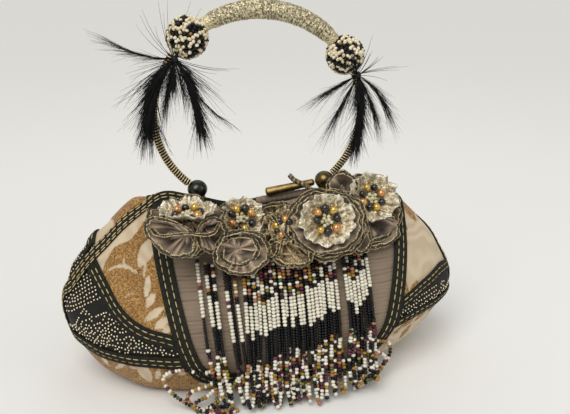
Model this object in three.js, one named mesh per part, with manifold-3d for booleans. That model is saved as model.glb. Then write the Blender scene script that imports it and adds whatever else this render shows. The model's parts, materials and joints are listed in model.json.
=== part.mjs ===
// Beaded evening handbag: a sewn panelled body, a ring handle, rosettes, a bead fringe and a toggle.
// Millimetres, +Z up, +X along the length, the front towards -Y. The origin is on the floor under the middle.
import * as THREE from "three";
import Module from "manifold-3d";
import { mergeVertices } from "three/addons/utils/BufferGeometryUtils.js";

const wasm = await Module();
wasm.setup();

const HALF_LENGTH = 128;
const GAP = 0.4;
const PANEL_GAP = 0.85;
const TIP_GAP = 1.2;
const BASE_GAP = 0.9;
const BASE_CORNER = [1, 0.86, 0.77, 0.72, 0.67, 0.62, 0.57];
const CLOTH = 2;
const WEBBING_HALF = 4.8;
const WEDGE_TRIM_HALF = 3.8;
const WEBBING_PROUD = 1.2;
const SHOULDER_POWER = 1.6;
const MOUTH_HALF = 44;
const LIP_OPEN = 8.5;
const LIP_CLOSED_AT = 68;

// Sections of the body from the middle to a tip: the height of the ridge and of the underside,
// the depth and height of the belly, and the depth of the part that lies flat below.
const SECTIONS = [
  { x: 0, ridge: 107, under: 0, depth: 54, belly: 34, foot: 37 },
  { x: 40, ridge: 111, under: 0, depth: 53, belly: 34, foot: 36 },
  { x: 75, ridge: 110, under: 0, depth: 47, belly: 35, foot: 30 },
  { x: 100, ridge: 91, under: 4, depth: 34, belly: 38, foot: 14 },
  { x: 118, ridge: 70, under: 17, depth: 19, belly: 42, foot: 0 },
  { x: 126, ridge: 58, under: 33, depth: 9, belly: 46, foot: 0 },
  { x: HALF_LENGTH, ridge: 48, under: 48, depth: 0, belly: 48, foot: 0 },
];

// Middle line of the webbing round a middle panel in the front view, from its right top to its left top.
const PANEL_LINE = [
  { x: 86, z: 116 },
  { x: 85.5, z: 96 },
  { x: 84, z: 80 },
  { x: 80.5, z: 66 },
  { x: 76, z: 51 },
  { x: 71, z: 36 },
  { x: 65, z: 23 },
  { x: 54, z: 14.5 },
  { x: 40, z: 13 },
  { x: 8, z: 13 },
  { x: -25, z: 13 },
  { x: -38, z: 14 },
  { x: -48, z: 21 },
  { x: -54, z: 35 },
  { x: -57.5, z: 48 },
  { x: -61.5, z: 68 },
  { x: -64.5, z: 86 },
  { x: -66, z: 100 },
  { x: -67, z: 116 },
];

// Middle lines of the two seams of a black wedge, from the middle panel out past the rim, for each end.
const WEDGE_SEAMS = {
  left: {
    upper: [
      { x: 46, z: 34 },
      { x: 62, z: 41 },
      { x: 75, z: 44.5 },
      { x: 86, z: 50 },
      { x: 94, z: 57.5 },
      { x: 100, z: 67.5 },
      { x: 105, z: 78 },
      { x: 109, z: 90 },
    ],
    lower: [
      { x: 44, z: 28.5 },
      { x: 62, z: 27.5 },
      { x: 76, z: 27.5 },
      { x: 90, z: 26.2 },
      { x: 105, z: 26.2 },
      { x: 117, z: 28.5 },
      { x: 128, z: 31 },
    ],
  },
  right: {
    upper: [
      { x: 60, z: 41 },
      { x: 78, z: 47.5 },
      { x: 92, z: 51 },
      { x: 103, z: 52.5 },
      { x: 114, z: 53.5 },
      { x: 122, z: 55 },
      { x: 130, z: 57 },
    ],
    lower: [
      { x: 60, z: 29 },
      { x: 73, z: 33 },
      { x: 83, z: 36 },
      { x: 95, z: 37.5 },
      { x: 109, z: 37.5 },
      { x: 120, z: 37.5 },
      { x: 130, z: 38 },
    ],
  },
};

// The left shoulder has rolled forward: its seam lies low on the front and the back swells over it.
const ROLL = { from: -60, full: -82, fade: -104, to: -124, forward: 8, down: 5, front: 34, back: 15, crown: 5, peak: 9 };

const RING = { middleX: -1.2, halfWide: 63.2, halfHigh: 62, height: 162, drawIn: 5.6, wire: 2.7 };
const GRIP = { from: 45, to: 119.3, middle: 5.6, ends: 4.2 };
const BALLS = [
  { side: "left", angle: 131, radius: 12.6, legFrom: 142.6, legTo: 223.2, socketAngle: 229 },
  { side: "right", angle: 34, radius: 12, legFrom: 22.9, legTo: -41.2, socketAngle: -47 },
];
const SOCKET = { radius: 6, stem: 4.4, stemFoot: 112.6 };

// Feather locks: where each leaves its head, bends and ends.
const PLUME_HEAD = { left: [-50.7, -7.9, 197.6], right: [56.8, -9.2, 185.8], radius: 3.4 };
const LOCKS = [
  { side: "left", bend: [-70, -12, 184], tip: [-71, -12, 150], thick: 5 },
  { side: "left", bend: [-41, -13, 184], tip: [-37, -13, 148], thick: 3.4 },
  { side: "left", bend: [-70, -8, 201], tip: [-97, -8, 212], thick: 1.6 },
  { side: "left", bend: [-54, -12, 180], tip: [-60, -13, 160], thick: 3.4 },
  { side: "right", bend: [59, -14, 162], tip: [54, -14, 138], thick: 4.4 },
  { side: "right", bend: [48, -14, 183], tip: [27, -14, 171], thick: 2.6 },
  { side: "right", bend: [47, -14, 170], tip: [37, -14, 151], thick: 2.2 },
  { side: "right", bend: [70, -13, 178], tip: [78, -13, 156], thick: 2.6 },
];

// Rosettes: the middle of each frill, how far its face is raised and turned, its radius and depth,
// where its folds start, and how far what it is sewn to stands off the cloth.
const ROSETTES = [
  { x: -50, y: -27.8, z: 103.2, rise: 58, turn: -6, radius: 21, bowl: 13, phase: 0.4, seat: 0 },
  { x: -21.6, y: -24.9, z: 99.2, rise: 46, turn: 2, radius: 15.5, bowl: 8, phase: 1.1, seat: 0 },
  { x: 9.5, y: -28.1, z: 95, rise: 30, turn: 0, radius: 16, bowl: 6, phase: 2, seat: 0 },
  { x: 30.5, y: -37.4, z: 103.4, rise: 24, turn: -8, radius: 20, bowl: 9, phase: 0.2, seat: 0 },
  { x: 61.6, y: -17.5, z: 107.4, rise: 32, turn: 8, radius: 20, bowl: 8, phase: 1.6, seat: 0 },
];
const FRILL = { wall: 1.5, open: 5, wave: 1.7, folds: 4, stem: 3 };
const CUP = { share: 0.62, wall: 1, bowl: 5.5, wave: 0.9, folds: 4 };
const CLUSTER = { beads: 8, ring: 5.6, bead: 2.2, pad: 4.4 };

const FRINGE = {
  left: -43,
  right: 67,
  locks: 13,
  width: 6.4,
  thick: 3.2,
  clear: 2.6,
  headHigh: 5,
  headSag: 7,
  headZ: 82,
  foot: 0.4,
};
const TOGGLE = { from: [3, 7.6, 110.2], to: [34.6, 4.4, 116.4], thick: 2.9, thin: 2.1, cord: 1.1 };

const MATERIALS = {
  tucked_cloth: { color: 0x7b6d63, roughness: 0.8 },
  tapestry: { color: 0xa98a66, roughness: 0.9 },
  studded_cloth: { color: 0x1a1918, roughness: 0.7 },
  webbing: { color: 0x161514, roughness: 0.8 },
  wound_wire: { color: 0x6d5a34, roughness: 0.4, metalness: 0.8 },
  dark_pearl: { color: 0x2c2b2e, roughness: 0.2, metalness: 0.6 },
  seed_beads: { color: 0xb7a88a, roughness: 0.35 },
  metallic_cloth: { color: 0xb9a988, roughness: 0.4, metalness: 0.6 },
  feather: { color: 0x0e0e0f, roughness: 0.8 },
  frill_cloth: { color: 0x6f6259, roughness: 0.8 },
  pearls: { color: 0x8a7048, roughness: 0.25, metalness: 0.5 },
  glass_beads: { color: 0x9b9a94, roughness: 0.25 },
  brass: { color: 0x7d6232, roughness: 0.35, metalness: 0.9 },
  twisted_cord: { color: 0x3c3226, roughness: 0.8 },
};

const { degToRad, lerp, clamp, smoothstep } = THREE.MathUtils;
const flat = (x, z) => new THREE.Vector2(x, z);
const point = (x, y, z) => new THREE.Vector3(x, y, z);

// The named column of the section table at a distance along the length, without overshoot between rows.
function column(name, x) {
  const turnOf = (distance) => Math.asin(Math.min(1, Math.abs(distance) / HALF_LENGTH));
  const last = SECTIONS.length - 1;
  const at = (i) => turnOf(SECTIONS[i].x);
  const secant = (i) => (SECTIONS[i + 1][name] - SECTIONS[i][name]) / (at(i + 1) - at(i));
  const slope = (i) => {
    if (i === 0) return 0;
    if (i === last) return secant(last - 1);
    const before = secant(i - 1);
    const after = secant(i);
    return before * after > 0 ? (2 * before * after) / (before + after) : 0;
  };
  const turn = turnOf(x);
  let i = 0;
  while (i < last - 1 && turn > at(i + 1)) i += 1;
  const span = at(i + 1) - at(i);
  const s = (turn - at(i)) / span;
  const eased = s * s * (3 - 2 * s);
  const leave = s * (1 - s) * (1 - s) * slope(i);
  const reach = s * s * (s - 1) * slope(i + 1);
  return lerp(SECTIONS[i][name], SECTIONS[i + 1][name], eased) + span * (leave + reach);
}

// Half the opening between the two lips.
function lipDepth(x) {
  const s = Math.min(1, Math.abs(x) / LIP_CLOSED_AT);
  return LIP_OPEN * Math.cos((Math.PI / 2) * s) ** 2;
}

// Depth of the front face from the middle plane.
function depthAt(x, z) {
  const depth = column("depth", x);
  const belly = column("belly", x);
  if (z >= belly) {
    const lip = lipDepth(x);
    const rise = clamp((z - belly) / Math.max(0.01, column("ridge", x) - belly), 0, 1);
    return lip + (depth - lip) * (1 - rise ** SHOULDER_POWER);
  }
  const foot = column("foot", x);
  const drop = clamp((belly - z) / Math.max(0.01, belly - column("under", x)), 0, 1);
  return foot + (depth - foot) * Math.sqrt(1 - drop * drop);
}

const onFront = (p) => point(p.x, -depthAt(p.x, p.y), p.y);

// Outward direction of the front face.
function frontNormal(p) {
  const step = 0.4;
  const alongX = (depthAt(p.x + step, p.y) - depthAt(p.x - step, p.y)) / (2 * step);
  const alongZ = (depthAt(p.x, p.y + step) - depthAt(p.x, p.y - step)) / (2 * step);
  return point(-alongX, -1, -alongZ).normalize();
}

// The rim seam, from the middle of the ridge (0) round the tip (0.5) to the middle of the underside (1).
function rimAt(e) {
  const share = Math.abs(e);
  const x = HALF_LENGTH * Math.sin(Math.PI * share);
  return flat(Math.sign(e) * x, column(share < 0.5 ? "ridge" : "under", x));
}

function rimInward(e) {
  const along = rimAt(e + 0.003).sub(rimAt(e - 0.003)).normalize();
  return flat(along.y, -along.x);
}

const rimShareAtX = (x) => Math.asin(x / HALF_LENGTH) / Math.PI;
const trimReach = (e) => lipDepth(rimAt(e).x) + WEBBING_HALF;

// Point of the front face at a distance from the rim, walked over the face.
function besideRim(e, distance) {
  const start = rimAt(e);
  const inward = rimInward(e);
  let before = point(start.x, 0, start.y);
  let walked = 0;
  for (let inset = 0; inset < 60; inset += 0.25) {
    const next = onFront(start.clone().addScaledVector(inward, inset));
    const step = next.distanceTo(before);
    if (walked + step >= distance) return before.lerp(next, (distance - walked) / step);
    walked += step;
    before = next;
  }
  return before;
}

function rimEdge(e, gap) {
  const p = besideRim(e, trimReach(e) + gap);
  return flat(p.x, p.z);
}

// Point beside a seam line, at a distance measured over the face.
function beside(line, t, distance) {
  const p = line.getPointAt(t);
  const ahead = p.clone().add(line.getTangentAt(t).multiplyScalar(0.2));
  const along = onFront(ahead).sub(onFront(p)).normalize();
  const across = frontNormal(p).cross(along);
  const moved = onFront(p).addScaledVector(across, distance);
  return flat(moved.x, moved.z);
}

// Where two lines in the front view cross, as a share along each.
function meet(first, second, parts = 220) {
  const a = Array.from({ length: parts + 1 }, (_, i) => first(i / parts));
  const b = Array.from({ length: parts + 1 }, (_, i) => second(i / parts));
  for (let i = 0; i < parts; i += 1) {
    const r = a[i + 1].clone().sub(a[i]);
    for (let j = 0; j < parts; j += 1) {
      const s = b[j + 1].clone().sub(b[j]);
      const cross = r.cross(s);
      const between = b[j].clone().sub(a[i]);
      const u = between.cross(s) / cross;
      const v = between.cross(r) / cross;
      if (u >= 0 && u <= 1 && v >= 0 && v <= 1) return [(i + u) / parts, (j + v) / parts];
    }
  }
  throw new Error("two seam lines never cross");
}

const stretch = (line, from, to) => (t) => line(lerp(from, to, t));

// Closed geometry from rows of outer and inner points; the rows may close on themselves across.
function shell(outer, inner, wraps = false) {
  const across = outer[0].length;
  const positions = [...outer.flat(), ...inner.flat()].flatMap((p) => [p.x, p.y, p.z]);
  const half = outer.length * across;
  const index = [];
  const quad = (a, b, c, d) => index.push(a, b, c, a, c, d);
  const columns = wraps ? across : across - 1;
  for (let i = 0; i < outer.length - 1; i += 1) {
    for (let j = 0; j < columns; j += 1) {
      const a = i * across + j;
      const b = i * across + ((j + 1) % across);
      quad(a, b, b + across, a + across);
      quad(half + a, half + a + across, half + b + across, half + b);
    }
    if (wraps) continue;
    const left = i * across;
    const right = left + across - 1;
    quad(left, left + across, half + left + across, half + left);
    quad(right, half + right, half + right + across, right + across);
  }
  const end = (outer.length - 1) * across;
  for (let j = 0; j < columns; j += 1) {
    const k = (j + 1) % across;
    quad(j, half + j, half + k, k);
    quad(end + j, end + k, half + end + k, half + end + j);
  }
  return solidGeometry(positions, index);
}

// Welds equal points, drops triangles that have closed up, and turns an inside-out body the right way.
function solidGeometry(positions, index) {
  const raw = new THREE.BufferGeometry();
  raw.setAttribute("position", new THREE.Float32BufferAttribute(positions, 3));
  raw.setIndex(index);
  const welded = mergeVertices(raw, 1e-3);
  const corner = (i) => new THREE.Vector3().fromBufferAttribute(welded.attributes.position, i);
  const source = welded.index.array;
  const kept = [];
  let volume = 0;
  for (let i = 0; i < source.length; i += 3) {
    const [a, b, c] = source.slice(i, i + 3);
    if (a === b || b === c || c === a) continue;
    kept.push([a, b, c]);
    volume += corner(a).dot(corner(b).cross(corner(c)));
  }
  welded.setIndex(kept.flatMap(([a, b, c]) => (volume < 0 ? [a, c, b] : [a, b, c])));
  return welded;
}

function toSolid(geometry) {
  const bare = new THREE.BufferGeometry();
  bare.setAttribute("position", geometry.attributes.position);
  bare.setIndex(geometry.index);
  const welded = mergeVertices(bare, 1e-4);
  const vertProperties = new Float32Array(welded.attributes.position.array);
  const triVerts = new Uint32Array(welded.index.array);
  return new wasm.Manifold(new wasm.Mesh({ numProp: 3, vertProperties, triVerts }));
}

function fuse(geometries) {
  const solids = geometries.map(toSolid);
  const mesh = solids.reduce((sum, next) => sum.add(next)).getMesh();
  const fused = new THREE.BufferGeometry();
  fused.setAttribute("position", new THREE.Float32BufferAttribute(mesh.vertProperties, 3));
  fused.setIndex(Array.from(mesh.triVerts));
  return fused;
}

// A cloth wall on the front face over a grid of front-view points.
function wall(grid, proud = 0, inset = CLOTH) {
  const moved = (p, by) => onFront(p).addScaledVector(frontNormal(p), by);
  const outer = grid.map((row) => row.map((p) => moved(p, proud)));
  const inner = grid.map((row) => row.map((p) => moved(p, -inset)));
  return shell(outer, inner);
}

// Grid of a patch with three sides: both long sides start at one corner and end on the far side.
function threeSided(first, second, far, rows, across) {
  const corners = [far(0), far(1)];
  return Array.from({ length: rows + 1 }, (_, i) => {
    const a = i / rows;
    return Array.from({ length: across + 1 }, (_, j) => {
      const b = j / across;
      const straight = first(a).lerp(second(a), b);
      const bulge = far(b).sub(corners[0].clone().lerp(corners[1], b));
      return straight.addScaledVector(bulge, a * a);
    });
  });
}

// Grid of a patch between four sides.
function fourSided(top, bottom, left, right, rows, across) {
  return Array.from({ length: rows + 1 }, (_, i) => {
    const b = i / rows;
    return Array.from({ length: across + 1 }, (_, j) => {
      const a = j / across;
      const ruled = top(a).lerp(bottom(a), b);
      const sides = left(b).lerp(right(b), a);
      const corners = top(0).lerp(top(1), a).lerp(bottom(0).lerp(bottom(1), a), b);
      return ruled.add(sides).sub(corners);
    });
  });
}

function mirrored(geometry, alongX, alongY) {
  const turned = geometry.clone().scale(alongX, alongY, 1);
  return solidGeometry(Array.from(turned.attributes.position.array), Array.from(turned.index.array));
}

const materials = {};
for (const [name, look] of Object.entries(MATERIALS)) {
  materials[name] = () => new THREE.MeshStandardMaterial({ name, metalness: 0, ...look });
}

function piece(name, geometry, material) {
  const mesh = new THREE.Mesh(geometry, materials[material]());
  mesh.name = name;
  return mesh;
}

const splineThrough = (rows) => new THREE.SplineCurve(rows.map(({ x, z }) => flat(x, z)));

// Middle line of the webbing round a middle panel, seen with the given end to the right.
function panelLine(side) {
  if (side > 0) return splineThrough(PANEL_LINE);
  return splineThrough(PANEL_LINE.map(({ x, z }) => ({ x: -x, z })).reverse());
}

const offsetLine = (line, distance) => (t) => beside(line, t, distance);
const halfOf = (line) => stretch(line, 0, 0.5);
const rimShare = (t) => lerp(0.02, 0.75, t);
const rimLine = (gap) => (t) => rimEdge(rimShare(t), gap);
const FACES = [["front", 1], ["back", -1]];
const SIDES = [["left", -1], ["right", 1]];

// A middle panel, between the lip, the ridge webbing and the webbing round it.
function middlePanel() {
  const reach = -WEBBING_HALF - PANEL_GAP;
  const inner = offsetLine(panelLine(1), reach);
  const [right, rimRight] = meet(halfOf(inner), rimLine(PANEL_GAP));
  const [left, rimLeft] = meet(halfOf(offsetLine(panelLine(-1), reach)), rimLine(PANEL_GAP));
  const corner = 0.325;
  const grid = fourSided(
    stretch((e) => rimEdge(e, PANEL_GAP), -rimShare(rimLeft), rimShare(rimRight)),
    stretch(inner, 1 - corner, corner),
    stretch(inner, 1 - left / 2, 1 - corner),
    stretch(inner, right / 2, corner),
    7,
    10,
  );
  return wall(grid);
}

// The webbing round a middle panel.
function panelTrim(rows) {
  const line = panelLine(1);
  const edges = [-WEBBING_HALF, WEBBING_HALF].map((reach) => {
    const [right] = meet(halfOf(offsetLine(line, reach)), rimLine(PANEL_GAP));
    const [left] = meet(halfOf(offsetLine(panelLine(-1), reach)), rimLine(PANEL_GAP));
    return stretch(offsetLine(line, reach), right / 2, 1 - left / 2);
  });
  const grid = Array.from({ length: rows + 1 }, (_, i) => edges.map((edge) => edge(i / rows)));
  return wall(grid, WEBBING_PROUD);
}

// Webbing on a seam of a black wedge, cut to the webbing that it runs into at both ends.
function wedgeTrim(seam, outer, rows) {
  const edges = [-WEDGE_TRIM_HALF, WEDGE_TRIM_HALF].map((reach) => {
    const edge = offsetLine(seam, reach);
    const [from] = meet(edge, outer);
    const [to] = meet(edge, rimLine(TIP_GAP));
    return stretch(edge, from, to);
  });
  const grid = Array.from({ length: rows + 1 }, (_, i) => edges.map((edge) => edge(i / rows)));
  return wall(grid, WEBBING_PROUD);
}

// The tapestry between a middle panel, the ridge and a black wedge.
function shoulderPanel(upper, outer) {
  const seam = offsetLine(upper, WEDGE_TRIM_HALF + PANEL_GAP);
  const [seamFrom, outerEnd] = meet(seam, outer);
  const [seamTo, rimEnd] = meet(seam, rimLine(PANEL_GAP));
  const [outerTop, rimTop] = meet(outer, rimLine(PANEL_GAP));
  const grid = threeSided(
    stretch(outer, outerTop, outerEnd),
    stretch(rimLine(PANEL_GAP), rimTop, rimEnd),
    stretch(seam, seamFrom, seamTo),
    6,
    7,
  );
  return wall(grid);
}

// A black wedge, from the webbing round the middle panel out to the tip.
function studdedPanel(upper, lower, outer) {
  const above = offsetLine(upper, -WEDGE_TRIM_HALF - PANEL_GAP);
  const below = offsetLine(lower, WEDGE_TRIM_HALF + PANEL_GAP);
  const [aboveFrom, outerAbove] = meet(above, outer);
  const [belowFrom, outerBelow] = meet(below, outer);
  const [aboveTo, rimAbove] = meet(above, rimLine(PANEL_GAP));
  const [belowTo, rimBelow] = meet(below, rimLine(PANEL_GAP));
  const grid = fourSided(
    stretch(above, aboveFrom, aboveTo),
    stretch(below, belowFrom, belowTo),
    stretch(outer, outerAbove, outerBelow),
    stretch(rimLine(PANEL_GAP), rimAbove, rimBelow),
    5,
    8,
  );
  return wall(grid);
}

// Upper edge of the underside towards one end, from the middle out to the tip.
function baseEdge(lower, side) {
  const outer = halfOf(offsetLine(panelLine(side), WEBBING_HALF + BASE_GAP));
  const under = offsetLine(lower, -WEDGE_TRIM_HALF - BASE_GAP);
  const [from, corner] = meet(under, outer);
  const [to] = meet(under, rimLine(TIP_GAP));
  const bottom = BASE_CORNER.filter((t) => t > corner + 0.015).map(outer);
  const along = Array.from({ length: 9 }, (_, i) => under(lerp(from, to - 0.05, i / 8)));
  return [...bottom, ...along];
}

// The bag's sewn panels and the webbing on their seams.
function buildBody() {
  const body = new THREE.Group();
  body.name = "body";
  const both = (name, geometry, material) => {
    for (const [face, alongY] of FACES) {
      body.add(piece(`${name}_${face}`, rolled(mirrored(geometry, 1, alongY)), material));
    }
  };
  both("panel", middlePanel(), "tucked_cloth");
  both("panel_trim", panelTrim(28), "webbing");
  both("lip_binding", lipBinding(10), "webbing");
  const edges = {};
  for (const [side, alongX] of SIDES) {
    const outer = halfOf(offsetLine(panelLine(alongX), WEBBING_HALF + GAP));
    const upper = splineThrough(WEDGE_SEAMS[side].upper);
    const lower = splineThrough(WEDGE_SEAMS[side].lower);
    edges[side] = baseEdge(lower, alongX);
    const cut = {
      shoulder: [shoulderPanel(upper, outer), "tapestry"],
      studded: [studdedPanel(upper, lower, outer), "studded_cloth"],
      wedge_trim_upper: [wedgeTrim(upper, outer, 11), "webbing"],
      wedge_trim_lower: [wedgeTrim(lower, outer, 8), "webbing"],
    };
    for (const [name, [geometry, material]] of Object.entries(cut)) {
      for (const [face, alongY] of FACES) {
        const placed = rolled(mirrored(geometry, alongX, alongY));
        body.add(piece(`${name}_${face}_${side}`, placed, material));
      }
    }
    const tip = edges[side][edges[side].length - 1];
    const ridge = endTrim(rimShareAtX(MOUTH_HALF + GAP), 1 - rimShareAtX(tip.x + 2 * TIP_GAP), 20);
    body.add(piece(`end_trim_${side}`, rolled(mirrored(ridge, alongX, 1)), "webbing"));
  }
  body.add(piece("base_panel", baseShell(edges.left, edges.right), "tapestry"));
  return body;
}

// The underside: each row runs from an edge point down, across the floor and up the other side.
function baseShell(left, right) {
  const stations = [...left.slice(1).reverse().map((p) => flat(-p.x, p.y)), ...right];
  const bends = 2;
  const rowAt = (p, inset) => {
    const depth = column("depth", p.x);
    const belly = column("belly", p.x);
    const under = column("under", p.x);
    const foot = column("foot", p.x);
    const start = Math.asin(clamp((belly - p.y) / (belly - under), 0, 1));
    const side = Array.from({ length: bends + 1 }, (_, k) => {
      const a = lerp(start, Math.PI / 2, k / bends);
      const y = foot + (depth - foot) * Math.cos(a);
      const z = belly - (belly - under) * Math.sin(a);
      const inward = flat(Math.cos(a) / (depth - foot), Math.sin(a) / (belly - under)).setLength(inset);
      return point(p.x, -y + inward.x, z + inward.y);
    });
    const middle = point(p.x, 0, under + inset);
    const back = side.map((q) => point(q.x, -q.y, q.z)).reverse();
    return [...side, middle, ...back];
  };
  return shell(stations.map((p) => rowAt(p, 0)), stations.map((p) => rowAt(p, CLOTH)));
}

// Moves a body piece with the shoulder that has rolled forward.
function rolled(geometry) {
  const spots = geometry.attributes.position;
  for (let i = 0; i < spots.count; i += 1) {
    const p = new THREE.Vector3().fromBufferAttribute(spots, i);
    const start = smoothstep(-p.x, -ROLL.from, -ROLL.full);
    const share = start * (1 - smoothstep(-p.x, -ROLL.fade, -ROLL.to));
    if (share === 0) continue;
    const below = clamp((column("ridge", p.x) - p.z) / ROLL.front, 0, 1);
    const behind = Math.max(0, p.y);
    const held = p.y > 0 ? clamp(1 - behind / ROLL.back, 0, 1) ** 2 : (1 - below) ** 2;
    const swell = (behind / ROLL.peak) * Math.exp(1 - behind / ROLL.peak);
    const high = smoothstep(p.z, column("belly", p.x), column("belly", p.x) + 20);
    p.y -= share * ROLL.forward * held * high;
    p.z += share * high * (ROLL.crown * swell - ROLL.down * held);
    spots.setXYZ(i, p.x, p.y, p.z);
  }
  return geometry;
}

// Webbing folded over the rim, from the mouth round the tip to the underside.
function endTrim(from, to, rows) {
  const layer = (by) => Array.from({ length: rows + 1 }, (_, i) => {
    const e = lerp(from, to, i / rows);
    const rim = rimAt(e);
    const inward = rimInward(e);
    const side = besideRim(e, trimReach(e));
    side.addScaledVector(frontNormal(flat(side.x, side.z)), by);
    const crown = point(rim.x - inward.x * by, 0, rim.y - inward.y * by);
    return [side, crown, point(side.x, -side.y, side.z)];
  });
  return shell(layer(WEBBING_PROUD), layer(-CLOTH));
}

// Webbing on the edge of a lip.
function lipBinding(rows) {
  const reach = rimShareAtX(MOUTH_HALF - GAP);
  const layer = (by) => Array.from({ length: rows + 1 }, (_, i) => {
    const e = lerp(-reach, reach, i / rows);
    const lip = lipDepth(rimAt(e).x);
    return [lip + 0.3, trimReach(e)].map((distance) => {
      const p = besideRim(e, distance);
      return p.addScaledVector(frontNormal(flat(p.x, p.z)), by);
    });
  });
  return shell(layer(WEBBING_PROUD), layer(-CLOTH));
}

// Round bar along a curve, with a radius that may change along it.
function taperedBar(curve, radiusAt, rows, sides) {
  const frames = curve.computeFrenetFrames(rows, false);
  const rings = Array.from({ length: rows + 1 }, (_, i) => {
    const middle = curve.getPointAt(i / rows);
    return Array.from({ length: sides }, (_, j) => {
      const a = (2 * Math.PI * j) / sides;
      const arm = frames.normals[i].clone().multiplyScalar(Math.cos(a));
      arm.addScaledVector(frames.binormals[i], Math.sin(a));
      return middle.clone().addScaledVector(arm, radiusAt(i / rows));
    });
  });
  const core = rings.map((ring, i) => ring.map(() => curve.getPointAt(i / rows)));
  const faces = [core[0], ...rings, core[rows]];
  const positions = faces.flat().flatMap((p) => [p.x, p.y, p.z]);
  const index = [];
  for (let i = 0; i < faces.length - 1; i += 1) {
    for (let j = 0; j < sides; j += 1) {
      const a = i * sides + j;
      const b = i * sides + ((j + 1) % sides);
      index.push(a, b, b + sides, a, b + sides, a + sides);
    }
  }
  return solidGeometry(positions, index);
}

// Arc of the ring handle, in the middle plane, drawn in a little towards the bag.
class RingArc extends THREE.Curve {
  constructor(from, to) {
    super();
    this.from = from;
    this.to = to;
  }

  getPoint(t, target = new THREE.Vector3()) {
    const a = degToRad(lerp(this.from, this.to, t));
    const { middleX, halfWide, halfHigh, height, drawIn } = RING;
    const less = drawIn * Math.max(0, -Math.sin(a)) ** 2;
    return target.set(middleX + (halfWide - less) * Math.cos(a), 0, height + (halfHigh - less) * Math.sin(a));
  }
}

const onRing = (angle) => new RingArc(angle, angle + 1).getPoint(0);

function roundShape(radius, sides) {
  const ring = Array.from({ length: sides }, (_, j) => {
    const a = (2 * Math.PI * j) / sides;
    return flat(radius * Math.cos(a), radius * Math.sin(a));
  });
  return new THREE.Shape(ring);
}

function buildHandle() {
  const handle = new THREE.Group();
  handle.name = "handle";
  const grip = new RingArc(GRIP.from, GRIP.to);
  const gripRadius = (t) => lerp(GRIP.ends, GRIP.middle, Math.sin(Math.PI * t) ** 0.6);
  handle.add(piece("handle_grip", taperedBar(grip, gripRadius, 12, 12), "metallic_cloth"));
  for (const ball of BALLS) {
    const sphere = piece(`beaded_ball_${ball.side}`, new THREE.SphereGeometry(ball.radius, 12, 7), "seed_beads");
    sphere.position.copy(onRing(ball.angle));
    handle.add(sphere);
    const extrudePath = new RingArc(ball.legFrom, ball.legTo);
    const options = { extrudePath, steps: 12, bevelEnabled: false };
    const leg = new THREE.ExtrudeGeometry(roundShape(RING.wire, 8), options);
    handle.add(piece(`handle_leg_${ball.side}`, leg, "wound_wire"));
    handle.add(socketPearl(ball));
    handle.add(plume(ball.side));
  }
  return handle;
}

// Pearl on a stem that stands on the two lips.
function socketPearl({ side, socketAngle }) {
  const middle = onRing(socketAngle);
  const foot = SOCKET.stemFoot - middle.z;
  const neck = -Math.acos(SOCKET.stem / SOCKET.radius);
  const profile = [flat(0, foot), flat(SOCKET.stem, foot)];
  for (let k = 0; k <= 5; k += 1) {
    const a = lerp(neck, Math.PI / 2, k / 5);
    profile.push(flat(SOCKET.radius * Math.cos(a), SOCKET.radius * Math.sin(a)));
  }
  profile[profile.length - 1].x = 0;
  const turned = new THREE.LatheGeometry(profile, 10).rotateX(Math.PI / 2);
  const pearl = piece(`socket_${side}`, turned, "dark_pearl");
  pearl.position.copy(middle);
  return pearl;
}

// Feather locks fused to the small head that is tied under a ball.
function plume(side) {
  const root = point(...PLUME_HEAD[side]);
  const head = new THREE.SphereGeometry(PLUME_HEAD.radius, 8, 5).translate(root.x, root.y, root.z);
  const locks = LOCKS.filter((lock) => lock.side === side).map(({ bend, tip, thick }) => {
    const curve = new THREE.QuadraticBezierCurve3(root, point(...bend), point(...tip));
    const radius = (t) => thick * (0.35 + 0.65 * Math.sin(Math.PI * Math.min(1, 0.25 + 0.72 * t)));
    return taperedBar(curve, radius, 4, 5);
  });
  return piece(`plume_${side}`, fuse([head, ...locks]), "feather");
}

// Gathered disc with folds that grow towards the edge. A core may fill its middle and a stem reach back.
function gatheredDisc({ radius, wall: thick, bowl, wave, folds, phase, core, stem, stemRadius, around }) {
  const rings = stem ? [0, stemRadius, stemRadius + 1.5, radius * 0.6, radius] : [0, radius * 0.5, radius];
  const heightAt = (r, a) => (r / radius) ** 2 * (bowl + wave * Math.sin(folds * a + phase));
  const layer = (heightOf) => rings.map((r, i) => Array.from({ length: around }, (_, j) => {
    const a = (2 * Math.PI * j) / around;
    return point(r * Math.cos(a), r * Math.sin(a), heightOf(r, a, i));
  }));
  const face = layer((r, a) => Math.max(core, heightAt(r, a)) + thick);
  const back = layer((r, a, i) => (stem && i < 2 ? -stem : heightAt(r, a)));
  return shell(face, back, true);
}

// How far back along its axis a rosette finds the bag.
function stemLength(middle, axis, seat) {
  let length = 2;
  const reach = (by) => middle.clone().addScaledVector(axis, -by);
  while (length < 60) {
    const p = reach(length);
    if (p.y > -depthAt(p.x, p.z)) break;
    length += 0.1;
  }
  const foot = reach(length);
  const slant = Math.acos(clamp(frontNormal(flat(foot.x, foot.z)).dot(axis), -1, 1));
  return length - (seat + GAP) / Math.cos(slant) - FRILL.stem * Math.tan(slant);
}

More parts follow.
